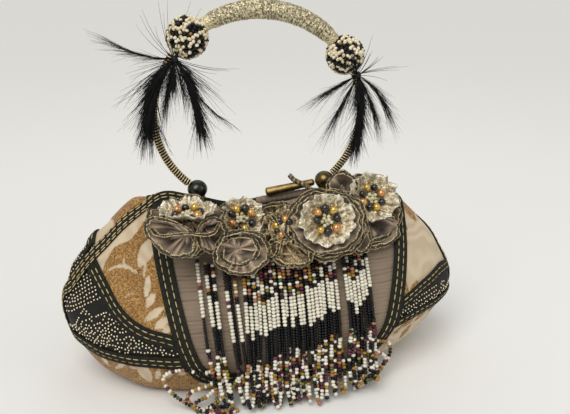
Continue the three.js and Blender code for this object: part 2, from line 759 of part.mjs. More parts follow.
function buildRosettes() {
  const rosettes = new THREE.Group();
  rosettes.name = "rosettes";
  ROSETTES.forEach(({ x, y, z, rise, turn, radius, bowl, phase, seat }, i) => {
    const name = `rosette_${i + 1}`;
    const up = degToRad(rise);
    const aside = degToRad(turn);
    const axis = point(Math.cos(up) * Math.sin(aside), -Math.cos(up) * Math.cos(aside), Math.sin(up));
    const flower = new THREE.Group();
    flower.name = name;
    flower.position.set(x, y, z);
    flower.quaternion.setFromUnitVectors(point(0, 0, 1), axis);
    const stem = stemLength(flower.position, axis, seat);
    const core = bowl - FRILL.open;
    const frill = { ...FRILL, radius, bowl, phase, core, stem, stemRadius: FRILL.stem, around: 16 };
    const cup = { ...CUP, radius: radius * CUP.share, phase, core: 0, around: 12 };
    const heart = new THREE.Group();
    heart.position.z = core + FRILL.wall + 0.3;
    heart.add(piece(`${name}_cup`, gatheredDisc(cup), "metallic_cloth"));
    heart.add(piece(`${name}_cluster`, pearlCluster(radius * CUP.share), "pearls"));
    flower.add(piece(`${name}_frill`, gatheredDisc(frill), "frill_cloth"), heart);
    rosettes.add(flower);
  });
  return rosettes;
}

// Ring of pearls fused to a low pad.
function pearlCluster(cupRadius) {
  const { beads, ring, bead, pad } = CLUSTER;
  const rise = (r) => CUP.wall + 0.3 + (CUP.bowl + CUP.wave) * (r / cupRadius) ** 2;
  const low = rise(pad);
  const high = rise(ring + bead) + bead + 0.6;
  const disc = new THREE.CylinderGeometry(pad * 0.95, pad, high - low, 10).rotateX(Math.PI / 2);
  disc.translate(0, 0, (high + low) / 2);
  const pearls = Array.from({ length: beads }, (_, k) => {
    const a = (2 * Math.PI * k) / beads;
    const pearl = new THREE.SphereGeometry(bead, 10, 3).rotateX(Math.PI / 2);
    return pearl.translate(ring * Math.cos(a), ring * Math.sin(a), rise(ring + bead) + bead);
  });
  return fuse([disc, ...pearls]);
}

// Strips of the bead fringe, fused to a head that follows the panel under the rosettes.
function buildFringe() {
  const { left, right, locks, width, thick, clear, headHigh, headSag, headZ, foot } = FRINGE;
  const sagAt = (s) => headZ - headSag * Math.sin(Math.PI * s) + 3 * s;
  const proud = (x, z, by) => {
    const p = flat(x, z);
    return onFront(p).addScaledVector(frontNormal(p), by);
  };
  const headRows = 11;
  const headLayer = (by) => Array.from({ length: headRows + 1 }, (_, i) => {
    const x = lerp(left, right, i / headRows);
    const z = sagAt(i / headRows);
    return [proud(x, z - headHigh / 2, by), proud(x, z + headHigh / 2, by)];
  });
  const head = shell(headLayer(0.6 + thick), headLayer(0.6));
  const strips = Array.from({ length: locks }, (_, k) => {
    const x = lerp(left + width / 2, right - width / 2, k / (locks - 1));
    const top = sagAt((x - left) / (right - left));
    const short = 8 * Math.max(0, k - locks + 3);
    return fringeStrip(x, top, { width, thick, clear, foot: foot + short }, k);
  });
  return piece("bead_fringe", fuse([head, ...strips]), "glass_beads");
}

// One strip: down the face to the belly, then straight to the floor, spreading there.
function fringeStrip(x, top, { width, thick, clear, foot }, k) {
  const belly = column("belly", x);
  const drops = [
    { z: top, flare: 0.6 },
    { z: lerp(top, belly, 0.5), flare: clear },
    { z: belly, flare: clear },
    { z: lerp(belly, foot, 0.45), flare: clear + 1 },
    { z: foot + 8, flare: clear + 3 + (k % 3) },
    { z: foot, flare: clear + 6 + 2 * (k % 3) },
  ];
  const layer = (by) => drops.map(({ z, flare }) => {
    const at = flat(x, Math.max(z, belly));
    const face = onFront(at).addScaledVector(frontNormal(at), flare + by);
    if (z < belly) face.z = z;
    const narrow = z < 10 ? 0.8 : 0.92;
    const half = (width / 2) * narrow;
    return [point(x - half, face.y, face.z), point(x + half, face.y, face.z)];
  });
  return shell(layer(thick), layer(0));
}

function buildToggle() {
  const toggle = new THREE.Group();
  toggle.name = "toggle";
  const bar = new THREE.LineCurve3(point(...TOGGLE.from), point(...TOGGLE.to));
  const barRadius = (t) => lerp(TOGGLE.thick, TOGGLE.thin, t);
  toggle.add(piece("toggle_bar", taperedBar(bar, barRadius, 4, 10), "brass"));
  const over = bar.getPoint(0.6);
  const lift = barRadius(0.6) + TOGGLE.cord + 1.2;
  const path = new THREE.CatmullRomCurve3([
    point(over.x - 4, over.y + 5.5, over.z + lift + 2),
    point(over.x, over.y, over.z + lift),
    point(over.x + 6, over.y - 5.5, over.z + lift - 3.2),
    point(over.x + 10, over.y - 10.5, over.z - 1.2),
  ]);
  const options = { extrudePath: path, steps: 10, bevelEnabled: false };
  const cord = new THREE.ExtrudeGeometry(roundShape(TOGGLE.cord, 8), options);
  toggle.add(piece("toggle_cord", cord, "twisted_cord"));
  return toggle;
}

const handbag = new THREE.Group();
handbag.name = "beaded_handbag";
handbag.add(buildBody());
handbag.add(buildHandle());
handbag.add(buildRosettes());
handbag.add(buildFringe());
handbag.add(buildToggle());

export default handbag;
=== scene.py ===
# Beaded evening handbag, dressed over its CAD frame: cloth body, ring handle, rosettes, bead fringe and toggle.
import json
import math

import bpy
import numpy as np
from mathutils import Matrix, Vector

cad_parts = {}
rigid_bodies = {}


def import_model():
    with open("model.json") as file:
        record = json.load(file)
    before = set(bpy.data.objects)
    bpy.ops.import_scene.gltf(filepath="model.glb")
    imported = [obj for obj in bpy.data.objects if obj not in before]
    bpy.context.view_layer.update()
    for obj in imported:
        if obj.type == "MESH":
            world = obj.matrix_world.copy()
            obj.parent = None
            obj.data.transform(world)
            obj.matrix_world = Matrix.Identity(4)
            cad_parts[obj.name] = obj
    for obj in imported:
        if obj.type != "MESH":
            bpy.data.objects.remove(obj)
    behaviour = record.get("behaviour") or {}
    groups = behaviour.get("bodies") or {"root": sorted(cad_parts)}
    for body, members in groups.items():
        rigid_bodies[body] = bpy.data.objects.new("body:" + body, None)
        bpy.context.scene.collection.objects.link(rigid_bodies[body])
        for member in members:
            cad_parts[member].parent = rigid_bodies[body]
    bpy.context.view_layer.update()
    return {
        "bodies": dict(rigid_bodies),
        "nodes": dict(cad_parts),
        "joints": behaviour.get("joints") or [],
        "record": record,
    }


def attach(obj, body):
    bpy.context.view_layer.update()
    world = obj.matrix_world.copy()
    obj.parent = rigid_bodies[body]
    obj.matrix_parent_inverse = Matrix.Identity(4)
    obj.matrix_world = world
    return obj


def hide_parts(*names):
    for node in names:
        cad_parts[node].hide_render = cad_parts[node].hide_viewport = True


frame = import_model()
bpy.ops.object.select_all(action="DESELECT")
rng = np.random.default_rng(11)
mm = 0.001
fullTurn = 2 * math.pi

# camera and light
view = {"eye": (-67.36, -412.78, 250.0), "right": (0.981, -0.1942, 0.0), "down": (-0.0644, -0.3252, -0.9434),
        "lens": 44.21, "sensor": 36, "near": 0.01}


def addCamera():
    bpy.ops.object.camera_add(location=Vector(view["eye"]) * mm)
    camera = bpy.context.object
    right, down = Vector(view["right"]).normalized(), Vector(view["down"]).normalized()
    camera.rotation_euler = Matrix((right, -down, right.cross(-down))).transposed().to_euler()
    camera.data.lens, camera.data.sensor_width = view["lens"], view["sensor"]
    camera.data.clip_start = view["near"]
    bpy.context.scene.camera = camera


studio = {
    "world": (1.0, 0.99, 0.945), "worldPower": 0.45,
    "floor": (0.80, 0.797, 0.785), "floorShade": (0.775, 0.77, 0.76), "floorRadius": 6,
    "sun": ((-0.35, -0.55, 1.0), 1.75, 0.8, (1.0, 0.985, 0.95)),  # from, power, softness, colour
    "lamps": [  # place, aim, size, power, colour
        ((-0.50, -0.62, 0.72), (0, 0, 0.08), 0.45, 1.1, (1.0, 0.985, 0.95)),
        ((0.70, -0.45, 0.55), (0, 0, 0.08), 0.40, 0.8, (1.0, 0.99, 0.97)),
        ((0.05, 0.50, 0.85), (0, 0, 0.10), 0.60, 0.7, (1.0, 1.0, 0.98)),
    ],
}


def addLamp(kind, place, aim, power, colour):
    bpy.ops.object.light_add(type=kind, location=place)
    lamp = bpy.context.object
    lamp.rotation_euler = (Vector(aim) - Vector(place)).to_track_quat("-Z", "Y").to_euler()
    lamp.data.energy, lamp.data.color = power, colour
    return lamp.data


def addStudio():
    world = bpy.context.scene.world or bpy.data.worlds.new("studio")
    bpy.context.scene.world = world
    world.use_nodes = True
    sky = world.node_tree.nodes["Background"]
    sky.inputs["Color"].default_value = (*studio["world"], 1)
    sky.inputs["Strength"].default_value = studio["worldPower"]
    bpy.context.scene.view_settings.view_transform = "Standard"
    place, power, softness, colour = studio["sun"]
    addLamp("SUN", place, (0, 0, 0), power, colour).angle = softness
    for place, aim, size, power, colour in studio["lamps"]:
        addLamp("AREA", place, aim, power, colour).size = size
    bpy.ops.mesh.primitive_circle_add(vertices=96, radius=studio["floorRadius"], fill_type="NGON",
                                      location=(0, 0, 0))
    floor = bpy.context.object
    floor.name = "floor"
    paper = [(0.3, studio["floorShade"]), (0.7, studio["floor"])]
    floor.data.materials.append(speckled("paperWhite", studio["floor"], 0.75, 900.0, paper))


# nodes for the materials
def newMaterial(name, colour=(0.5, 0.5, 0.5), rough=0.6, metal=0.0, **sockets):
    material = bpy.data.materials.new(name)
    material.use_nodes = True
    shader = material.node_tree.nodes["Principled BSDF"]
    shader.inputs["Base Color"].default_value = (*colour, 1)
    shader.inputs["Roughness"].default_value = rough
    shader.inputs["Metallic"].default_value = metal
    for socket, value in sockets.items():
        shader.inputs[socket.replace("_", " ")].default_value = value
    return material, material.node_tree, shader


def setSocket(tree, socket, value):
    if isinstance(value, bpy.types.NodeSocket):
        tree.links.new(value, socket)
    else:
        socket.default_value = value


def addNode(tree, kind, links=None, **settings):
    node = tree.nodes.new(kind)
    for key, value in settings.items():
        setattr(node, key, value)
    for key, value in (links or {}).items():
        setSocket(tree, node.inputs[key], value)
    return node


def objectCoords(tree):
    return addNode(tree, "ShaderNodeTexCoord").outputs["Object"]


def noiseOn(tree, coords, scale, detail=3.0, rough=0.55):
    links = {"Vector": coords, "Scale": scale, "Detail": detail, "Roughness": rough}
    return addNode(tree, "ShaderNodeTexNoise", links).outputs["Fac"]


def ramp(tree, factor, stops):
    node = addNode(tree, "ShaderNodeValToRGB", {"Fac": factor})
    steps = node.color_ramp.elements
    while len(steps) < len(stops):
        steps.new(0.5)
    for step, (place, colour) in zip(steps, stops):
        step.position = place
        step.color = (*colour, 1)
    return node.outputs["Color"]


def mixColour(tree, factor, first, second, blend="MIX"):
    node = addNode(tree, "ShaderNodeMix", data_type="RGBA", blend_type=blend)
    setSocket(tree, node.inputs[0], factor)
    for socket, colour in ((node.inputs[6], first), (node.inputs[7], second)):
        setSocket(tree, socket, (*colour, 1) if isinstance(colour, tuple) else colour)
    return node.outputs[2]


def maths(tree, operation, first, second):
    node = addNode(tree, "ShaderNodeMath", operation=operation)
    setSocket(tree, node.inputs[0], first)
    setSocket(tree, node.inputs[1], second)
    return node.outputs[0]


def scaled(tree, value, factor):
    return maths(tree, "MULTIPLY", value, factor)


def added(tree, first, second):
    return maths(tree, "ADD", first, second)


def span(tree, value, low=0.0, high=1.0, bottom=0.0, top=1.0):
    links = {"Value": value, "From Min": low, "From Max": high, "To Min": bottom, "To Max": top}
    return addNode(tree, "ShaderNodeMapRange", links).outputs["Result"]


def bands(tree, coords, scale, distortion, **settings):
    links = {"Vector": coords, "Scale": scale, "Distortion": distortion, "Detail": 2.0}
    return addNode(tree, "ShaderNodeTexWave", links, **settings).outputs["Fac"]


def feed(tree, shader, value, socket="Base Color"):
    tree.links.new(value, shader.inputs[socket])


def toned(colour, factor):
    return tuple(min(1.0, factor * c) for c in colour)


def bumpOn(tree, shader, height, strength, distance):
    links = {"Height": height, "Strength": strength, "Distance": distance * mm}
    feed(tree, shader, addNode(tree, "ShaderNodeBump", links).outputs["Normal"], "Normal")


def attribute(tree, name, output="Fac"):
    return addNode(tree, "ShaderNodeAttribute", attribute_name=name).outputs[output]


def speckled(name, colour, rough, scale, stops, bump=None, **sockets):
    material, tree, shader = newMaterial(name, colour, rough, **sockets)
    coords = objectCoords(tree)
    feed(tree, shader, ramp(tree, noiseOn(tree, coords, scale), stops))
    if bump:
        fine, strength, distance = bump
        bumpOn(tree, shader, noiseOn(tree, coords, fine), strength, distance)
    return material


def tuckedCloth(name, light, dark):
    material, tree, shader = newMaterial(name, light, 0.68, Sheen_Weight=0.35, Sheen_Roughness=0.45)
    coords = objectCoords(tree)
    stretch = {"Vector": coords, "Scale": (140.0, 140.0, 2600.0)}
    thread = noiseOn(tree, addNode(tree, "ShaderNodeMapping", stretch).outputs["Vector"], 1.0, 2.0)
    base = ramp(tree, noiseOn(tree, coords, 55.0), [(0.3, toned(light, 0.86)), (0.7, toned(light, 1.1))])
    threaded = mixColour(tree, scaled(tree, thread, 0.45), base, dark)
    # painted highlight: the cloth is lightened on its ridges; painted shade: it is darkened in its creases and
    # folds
    lit = mixColour(tree, attribute(tree, "paintedHighlight"), threaded, toned(light, 2.1))
    feed(tree, shader, mixColour(tree, attribute(tree, "paintedShade"), lit, dark))
    nap = scaled(tree, noiseOn(tree, coords, 2200.0), 0.7)
    bumpOn(tree, shader, added(tree, thread, nap), 0.45, 0.25)
    return material


def tapestryCloth():
    material, tree, shader = newMaterial("tapestryCloth", rough=0.85, Sheen_Weight=0.2, Sheen_Roughness=0.4)
    coords = objectCoords(tree)
    fray = scaled(tree, maths(tree, "SUBTRACT", noiseOn(tree, coords, 700.0), 0.5), 2.6)
    inside = span(tree, added(tree, attribute(tree, "motif"), fray), -0.25, 0.35)
    loops = addNode(tree, "ShaderNodeTexVoronoi", {"Vector": coords, "Scale": 1150.0, "Randomness": 0.9})
    grain = noiseOn(tree, coords, 700.0, 4.0, 0.74)
    pile = maths(tree, "SUBTRACT", scaled(tree, grain, 1.55), scaled(tree, loops.outputs["Distance"], 0.62))
    brown = ramp(tree, pile, [(0.10, (0.050, 0.021, 0.006)), (0.31, (0.22, 0.104, 0.027)),
                              (0.50, (0.42, 0.22, 0.060)), (0.76, (0.68, 0.435, 0.155))])
    zones = span(tree, noiseOn(tree, coords, 70.0), 0.38, 0.66, top=0.6)
    brown = mixColour(tree, zones, brown, (0.235, 0.108, 0.027))
    weave = bands(tree, coords, 1100.0, 1.2, bands_direction="Z")
    curls = bands(tree, coords, 30.0, 16.0, wave_type="RINGS")
    cream = ramp(tree, weave, [(0.2, (0.47, 0.365, 0.235)), (0.8, (0.63, 0.51, 0.35))])
    cream = mixColour(tree, scaled(tree, curls, 0.5), cream, (0.74, 0.625, 0.45))
    specks = scaled(tree, span(tree, grain, 0.60, 0.72), 0.5)
    cream = mixColour(tree, specks, cream, (0.36, 0.235, 0.12))
    feed(tree, shader, mixColour(tree, inside, cream, brown))
    fluff = scaled(tree, scaled(tree, pile, inside), 2.2)
    height = added(tree, fluff, scaled(tree, weave, 0.25))
    bumpOn(tree, shader, added(tree, height, scaled(tree, curls, 0.3)), 0.7, 0.45)
    return material


def blackWebbing():
    material, tree, shader = newMaterial("blackWebbing", (0.013, 0.014, 0.012), 0.7, Specular_IOR_Level=0.15)
    laid = addNode(tree, "ShaderNodeTexCoord").outputs["UV"]
    ribs = bands(tree, laid, 0.62, 0.6, bands_direction="X")
    dust = noiseOn(tree, objectCoords(tree), 420.0)
    shade = added(tree, scaled(tree, ribs, 0.35), scaled(tree, dust, 0.8))
    feed(tree, shader, ramp(tree, shade, [(0.3, (0.006, 0.0065, 0.005)), (0.85, (0.024, 0.025, 0.018))]))
    bumpOn(tree, shader, added(tree, ribs, scaled(tree, dust, 0.5)), 0.55, 0.22)
    return material


def crinkledMetal(name, light, dark, gold, pale):
    material, tree, shader = newMaterial(name, light, 0.38, 0.72)
    coords = objectCoords(tree)
    fine = noiseOn(tree, coords, 950.0, 5.0, 0.7)
    facets = {"Vector": coords, "Scale": 620.0}
    cells = addNode(tree, "ShaderNodeTexVoronoi", facets, feature="DISTANCE_TO_EDGE").outputs["Distance"]
    base = ramp(tree, fine, [(0.28, dark), (0.5, light), (0.75, toned(light, 1.2))])
    warm = span(tree, noiseOn(tree, coords, 190.0), 0.56, 0.72)
    base = mixColour(tree, scaled(tree, warm, 0.55), base, gold)
    # painted highlight: pale where the rims and ridges catch the light; painted shade: dark in the creases and
    # hollows
    base = mixColour(tree, attribute(tree, "paintedHighlight"), base, pale)
    feed(tree, shader, mixColour(tree, attribute(tree, "paintedShade"), base, dark))
    feed(tree, shader, span(tree, fine, bottom=0.28, top=0.6), "Roughness")
    bumpOn(tree, shader, added(tree, fine, scaled(tree, cells, 3.0)), 0.75, 0.35)
    return material


def grainyMetal(name, colour, rough, wear):
    material, tree, shader = newMaterial(name, colour, rough, 0.9)
    coords = objectCoords(tree)
    feed(tree, shader, ramp(tree, noiseOn(tree, coords, 260.0), [(0.3, wear), (0.65, colour)]))
    scuffs = span(tree, noiseOn(tree, coords, 500.0), bottom=rough - 0.1, top=rough + 0.15)
    feed(tree, shader, scuffs, "Roughness")
    bumpOn(tree, shader, noiseOn(tree, coords, 900.0), 0.12, 0.1)
    return material


def tintedGloss(name, rough, metal=0.0, **sockets):
    material, tree, shader = newMaterial(name, rough=rough, metal=metal, **sockets)
    haze = noiseOn(tree, objectCoords(tree), 700.0)
    tint = attribute(tree, "tint", "Color")
    feed(tree, shader, mixColour(tree, scaled(tree, haze, 0.3), tint, (0.35, 0.3, 0.24), "MULTIPLY"))
    bumpOn(tree, shader, haze, 0.08, 0.1)
    return material


def twistedCord():
    material, tree, shader = newMaterial("twistedPiping", rough=0.5)
    coords = objectCoords(tree)
    breaks = span(tree, noiseOn(tree, coords, 1000.0), 0.45, 0.6, top=0.85)
    flecks = span(tree, noiseOn(tree, coords, 760.0), 0.57, 0.68, top=0.6)
    tint = mixColour(tree, breaks, attribute(tree, "tint", "Color"), (0.020, 0.015, 0.009))
    feed(tree, shader, mixColour(tree, flecks, tint, (0.62, 0.50, 0.28)))
    bumpOn(tree, shader, breaks, 0.5, 0.2)
    return material


addCamera()
addStudio()
print("stage: camera, light and floor")

looks = {
    "panel": tuckedCloth("taupeTucks", (0.272, 0.200, 0.138), (0.042, 0.028, 0.017)),
    "frill": tuckedCloth("taupeFrill", (0.31, 0.228, 0.158), (0.016, 0.011, 0.007)),
    "tapestry": tapestryCloth(),
    "webbing": blackWebbing(),
    "blackCloth": speckled("blackCloth", (0.010, 0.0095, 0.009), 0.6, 120.0,
                           [(0.3, (0.008, 0.0075, 0.007)), (0.8, (0.018, 0.017, 0.016))], (1600.0, 0.35, 0.15),
                           Specular_IOR_Level=0.18),
    # the last colour of each crinkled metal is its painted highlight
    "lame": crinkledMetal("silverLame", (0.67, 0.56, 0.355), (0.042, 0.027, 0.010), (0.50, 0.32, 0.075),
                          (0.96, 0.90, 0.74)),
    "grip": crinkledMetal("champagneWrap", (0.72, 0.635, 0.415), (0.050, 0.036, 0.014), (0.40, 0.28, 0.10),
                          (0.94, 0.89, 0.70)),
    "bronzeLame": crinkledMetal("bronzeLame", (0.46, 0.35, 0.20), (0.045, 0.030, 0.013), (0.36, 0.21, 0.06),
                                (0.62, 0.52, 0.34)),
    "thread": tintedGloss("stitchThread", 0.5),
    "cord": twistedCord(),
    "dot": grainyMetal("paleGoldDots", (0.97, 0.89, 0.66), 0.34, (0.78, 0.65, 0.40)),
    "wire": grainyMetal("woundGold", (0.98, 0.83, 0.52), 0.36, (0.74, 0.57, 0.28)),
    "bronze": grainyMetal("bronzeBar", (0.30, 0.205, 0.075), 0.36, (0.12, 0.08, 0.03)),
    "darkPearl": grainyMetal("darkPearl", (0.055, 0.058, 0.050), 0.22, (0.03, 0.032, 0.028)),
    "bronzePearl": grainyMetal("bronzePearl", (0.20, 0.135, 0.045), 0.24, (0.045, 0.042, 0.030)),
    "pearl": tintedGloss("pearls", 0.2, 0.55, Coat_Weight=0.85, Coat_Roughness=0.04),
    "bead": tintedGloss("glassBeads", 0.3, Coat_Weight=0.1, Coat_Roughness=0.08, Specular_IOR_Level=0.22),
    "feather": speckled("blackFeather", (0.006, 0.006, 0.007), 0.55, 300.0,
                        [(0.3, (0.004, 0.004, 0.004)), (0.8, (0.014, 0.014, 0.015))], Specular_IOR_Level=0.2),
}


# making and finishing pieces
def choose(obj):
    bpy.ops.object.select_all(action="DESELECT")
    obj.select_set(True)
    bpy.context.view_layer.objects.active = obj


def modifier(obj, kind, **settings):
    choose(obj)
    made = obj.modifiers.new(kind.lower(), kind)
    for key, value in settings.items():
        setattr(made, key, value)
    bpy.ops.object.modifier_apply(modifier=made.name)


def thicken(obj, wall, offset=-1):
    modifier(obj, "SOLIDIFY", thickness=wall * mm, offset=offset)


def joinAll(pieces):
    choose(pieces[0])
    for piece in pieces:
        piece.select_set(True)
    bpy.ops.object.join()
    return pieces[0]


def ballAt(name, segments, rings, radius, place, stretch=(1, 1, 1)):
    bpy.ops.mesh.primitive_uv_sphere_add(segments=segments, ring_count=rings, radius=radius * mm)
    ball = bpy.context.object
    ball.name = ball.data.name = name
    bpy.ops.object.mode_set(mode="EDIT")
    bpy.ops.mesh.select_all(action="SELECT")
    bpy.ops.transform.resize(value=stretch)
    bpy.ops.transform.translate(value=tuple(place * mm))
    bpy.ops.object.mode_set(mode="OBJECT")
    return ball


def dress(obj, look, slot, *nodes):
    obj.data.materials.clear()
    obj.data.materials.append(looks[look])
    obj.data.shade_smooth()
    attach(obj, "root")
    if nodes:
        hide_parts(*nodes)


def paint(mesh, name, values):
    values = np.asarray(values, float)
    if values.ndim == 1:
        mesh.attributes.new(name, "FLOAT", "POINT").data.foreach_set("value", values)
    else:
        rgba = np.concatenate([values, np.ones((len(values), 1))], 1)
        mesh.attributes.new(name, "FLOAT_COLOR", "POINT").data.foreach_set("color", rgba.ravel())


# a grid primitive laid over a surface: place(u, v) gives points in mm, and marks may add attributes
def gridPiece(name, across, along, place, size=(1.0, 1.0), flip=False, marks=None, weld=False):
    bpy.ops.mesh.primitive_grid_add(x_subdivisions=across, y_subdivisions=along, size=2)
    obj = bpy.context.object
    obj.name = obj.data.name = name
    mesh = obj.data
    flat = np.empty(len(mesh.vertices) * 3)
    mesh.vertices.foreach_get("co", flat)
    u, v = (flat.reshape(-1, 3)[:, :2].T + 1) / 2
    mesh.vertices.foreach_set("co", (np.asarray(place(u, v)) * mm).ravel())
    corner = np.empty(len(mesh.loops), int)
    mesh.loops.foreach_get("vertex_index", corner)
    laid = np.stack([u[corner] * size[0], v[corner] * size[1]], 1)
    mesh.uv_layers.active.data.foreach_set("uv", laid.ravel())
    for key, values in (marks(u, v) if marks else {}).items():
        paint(mesh, key, values)
    choose(obj)
    bpy.ops.object.mode_set(mode="EDIT")
    bpy.ops.mesh.select_all(action="SELECT")
    if flip:
        bpy.ops.mesh.flip_normals()
    if weld:
        bpy.ops.mesh.remove_doubles(threshold=0.01 * mm)
    bpy.ops.object.mode_set(mode="OBJECT")
    mesh.update()
    return obj


def arrayPiece(name, points, triangles, tints=None):
    mesh = bpy.data.meshes.new(name)
    mesh.from_pydata(np.asarray(points) * mm, [], np.asarray(triangles))
    if tints is not None:
        paint(mesh, "tint", tints)
    obj = bpy.data.objects.new(name, mesh)
    bpy.context.scene.collection.objects.link(obj)
    return obj


# a small shape modelled once from a sphere, then copied to many places in one mesh
def unitShape(segments, rings, shape=lambda x, y, z: (x, y, z)):
    bpy.ops.mesh.primitive_uv_sphere_add(segments=segments, ring_count=rings, radius=1)
    obj = bpy.context.object
    mesh = obj.data
    mesh.calc_loop_triangles()
    points = np.array([shape(*v.co) for v in mesh.vertices])
    triangles = np.array([t.vertices for t in mesh.loop_triangles])
    bpy.data.objects.remove(obj)
    return points, triangles


def unit(v):
    return v / np.maximum(1e-9, np.linalg.norm(v, axis=-1, keepdims=True))


# two directions square to a path
def squareTo(tangent, ref):
    first = unit(np.cross(tangent, np.broadcast_to(ref, tangent.shape)))
    return first, np.cross(tangent, first)


def scatter(name, shape, centres, axes, normals, sizes, tints=None):
    points, triangles = shape
    centres, sizes = np.asarray(centres, float), np.asarray(sizes, float)
    count = len(centres)
    long = unit(np.broadcast_to(axes, (count, 3)))
    side = unit(np.cross(np.broadcast_to(normals, (count, 3)), long))
    top = np.cross(long, side)
    sizes = np.broadcast_to(sizes, (count, 3))
    spread = (points[None, :, 0, None] * (sizes[:, 0, None] * side)[:, None]
              + points[None, :, 1, None] * (sizes[:, 1, None] * top)[:, None]
              + points[None, :, 2, None] * (sizes[:, 2, None] * long)[:, None])
    everything = (centres[:, None] + spread).reshape(-1, 3)
    faces = (triangles[None] + len(points) * np.arange(count)[:, None, None]).reshape(-1, 3)
    shades = None if tints is None else np.repeat(np.asarray(tints, float), len(points), 0)
    return arrayPiece(name, everything, faces, shades)


# round strands swept along paths of equal length: paths (n, k, 3), radii (n, k), ref gives the side direction
def strands(name, paths, radii, sides, ref, tints=None):
    paths = np.asarray(paths, float)
    count, length = paths.shape[:2]
    radii = np.broadcast_to(radii, (count, length))
    first, second = squareTo(unit(np.gradient(paths, axis=1)), ref)
    angle = fullTurn * np.arange(sides) / sides
    ring = (np.cos(angle)[:, None] * first[:, :, None] + np.sin(angle)[:, None] * second[:, :, None])
    points = (paths[:, :, None] + radii[..., None, None] * ring).reshape(-1, 3)
    i, j = np.meshgrid(np.arange(length - 1), np.arange(sides), indexing="ij")
    a, b = i * sides + j, i * sides + (j + 1) % sides
    quads = np.stack([a, b, b + sides, a + sides], -1).reshape(-1, 4)
    wall = np.concatenate([quads[:, [0, 1, 2]], quads[:, [0, 2, 3]]])
    k = np.arange(1, sides - 1)
    low = np.stack([0 * k, k + 1, k], 1)
    high = np.stack([0 * k, k, k + 1], 1) + (length - 1) * sides
    one = np.concatenate([wall, low, high])
    faces = (one[None] + length * sides * np.arange(count)[:, None, None]).reshape(-1, 3)
    shades = None if tints is None else np.repeat(np.asarray(tints, float), length * sides, 0)
    return arrayPiece(name, points, faces, shades)


# a soft random field, and a creased one
def field(points, wavelength, seed, count=9):
    draw = np.random.default_rng(seed)
    turns = unit(draw.normal(size=(count, 3))) * (fullTurn / wavelength) * draw.uniform(0.7, 1.5, (count, 1))
    return np.sin(points @ turns.T + draw.uniform(0, 6.28, count)).sum(-1) / 3


def creases(points, wavelength, seed):
    return 1 - np.minimum(1, 1.6 * np.abs(field(points, wavelength, seed)))


def smooth(t, low, high):
    s = np.clip((np.asarray(t, float) - low) / (high - low), 0, 1)
    return s * s * (3 - 2 * s)


# the bag's surface, by the sections of the frame
bag = {
    "halfLength": 128.0, "lipOpen": 8.5, "lipClosedAt": 68.0, "shoulderPower": 1.6, "cloth": 1.6,
    "x": [0, 40, 75, 100, 118, 126, 128],
    "ridge": [107, 111, 110, 91, 70, 58, 48],
    "under": [0, 0, 0, 4, 17, 33, 48],
    "depth": [54, 53, 47, 34, 19, 9, 0],
    "belly": [34, 34, 35, 38, 42, 46, 48],
    "foot": [37, 36, 30, 14, 0, 0, 0],
}
# how the soft body has slumped: moves in mm, each with the ranges of x or z over which it sets in or fades
roll = {
    "left": (60, 82), "leftEnd": (119, 129), "forward": 8, "down": 4, "front": 34, "back": 15, "above": 20,
    "crown": 11, "peak": 9, "tip": 2.0, "tipFrom": (90, 108),
    "puff": 8.5, "puffFrom": (66, 90), "puffTo": (111, 127),
    "sag": 4.5, "sagAt": -20.0, "sagWide": 17, "sagFrom": (78, 104),
    "heel": 12.5, "heelFrom": (40, 84), "heelLeft": 2.4, "heelLeftFrom": (56, 96), "heelTo": (11, 48),
    "crest": 6.0, "crestAt": -61.0, "crestWide": 15, "crestFrom": (78, 108),
    "tuck": 2.4, "tuckFrom": (84, 127), "tuckAbove": (8, 34), "tuckTo": (34, 76),
}


def turnOf(x):
    return np.arcsin(np.minimum(1, np.abs(x) / bag["halfLength"]))


def column(name, x):
    knots, values = turnOf(np.array(bag["x"], float)), np.array(bag[name], float)
    secants = np.diff(values) / np.diff(knots)
    before, after = secants[:-1], secants[1:]
    both = np.where(before + after == 0, 1, before + after)
    middle = np.where(before * after > 0, 2 * before * after / both, 0)
    slopes = np.concatenate([[0], middle, secants[-1:]])
    turn = turnOf(np.asarray(x, float))
    i = np.clip(np.searchsorted(knots, turn) - 1, 0, len(knots) - 2)
    width = knots[i + 1] - knots[i]
    s = (turn - knots[i]) / width
    eased = s * s * (3 - 2 * s)
    pull = s * (1 - s) ** 2 * slopes[i] + s * s * (s - 1) * slopes[i + 1]
    return values[i] * (1 - eased) + values[i + 1] * eased + width * pull


def lipDepth(x):
    return bag["lipOpen"] * np.cos(math.pi / 2 * np.minimum(1, np.abs(x) / bag["lipClosedAt"])) ** 2


def depthAt(x, z):
    depth, belly, foot, lip = column("depth", x), column("belly", x), column("foot", x), lipDepth(x)
    rise = np.clip((z - belly) / np.maximum(0.01, column("ridge", x) - belly), 0, 1)
    drop = np.clip((belly - z) / np.maximum(0.01, belly - column("under", x)), 0, 1)
    above = lip + (depth - lip) * (1 - rise ** bag["shoulderPower"])
    below = foot + (depth - foot) * np.sqrt(1 - drop * drop)
    return np.where(z >= belly, above, below)


def frontNormal(x, z, step=0.4):
    alongX = (depthAt(x + step, z) - depthAt(x - step, z)) / (2 * step)
    alongZ = (depthAt(x, z + step) - depthAt(x, z - step)) / (2 * step)
    return unit(np.stack([-alongX, -np.ones_like(alongX), -alongZ], -1))


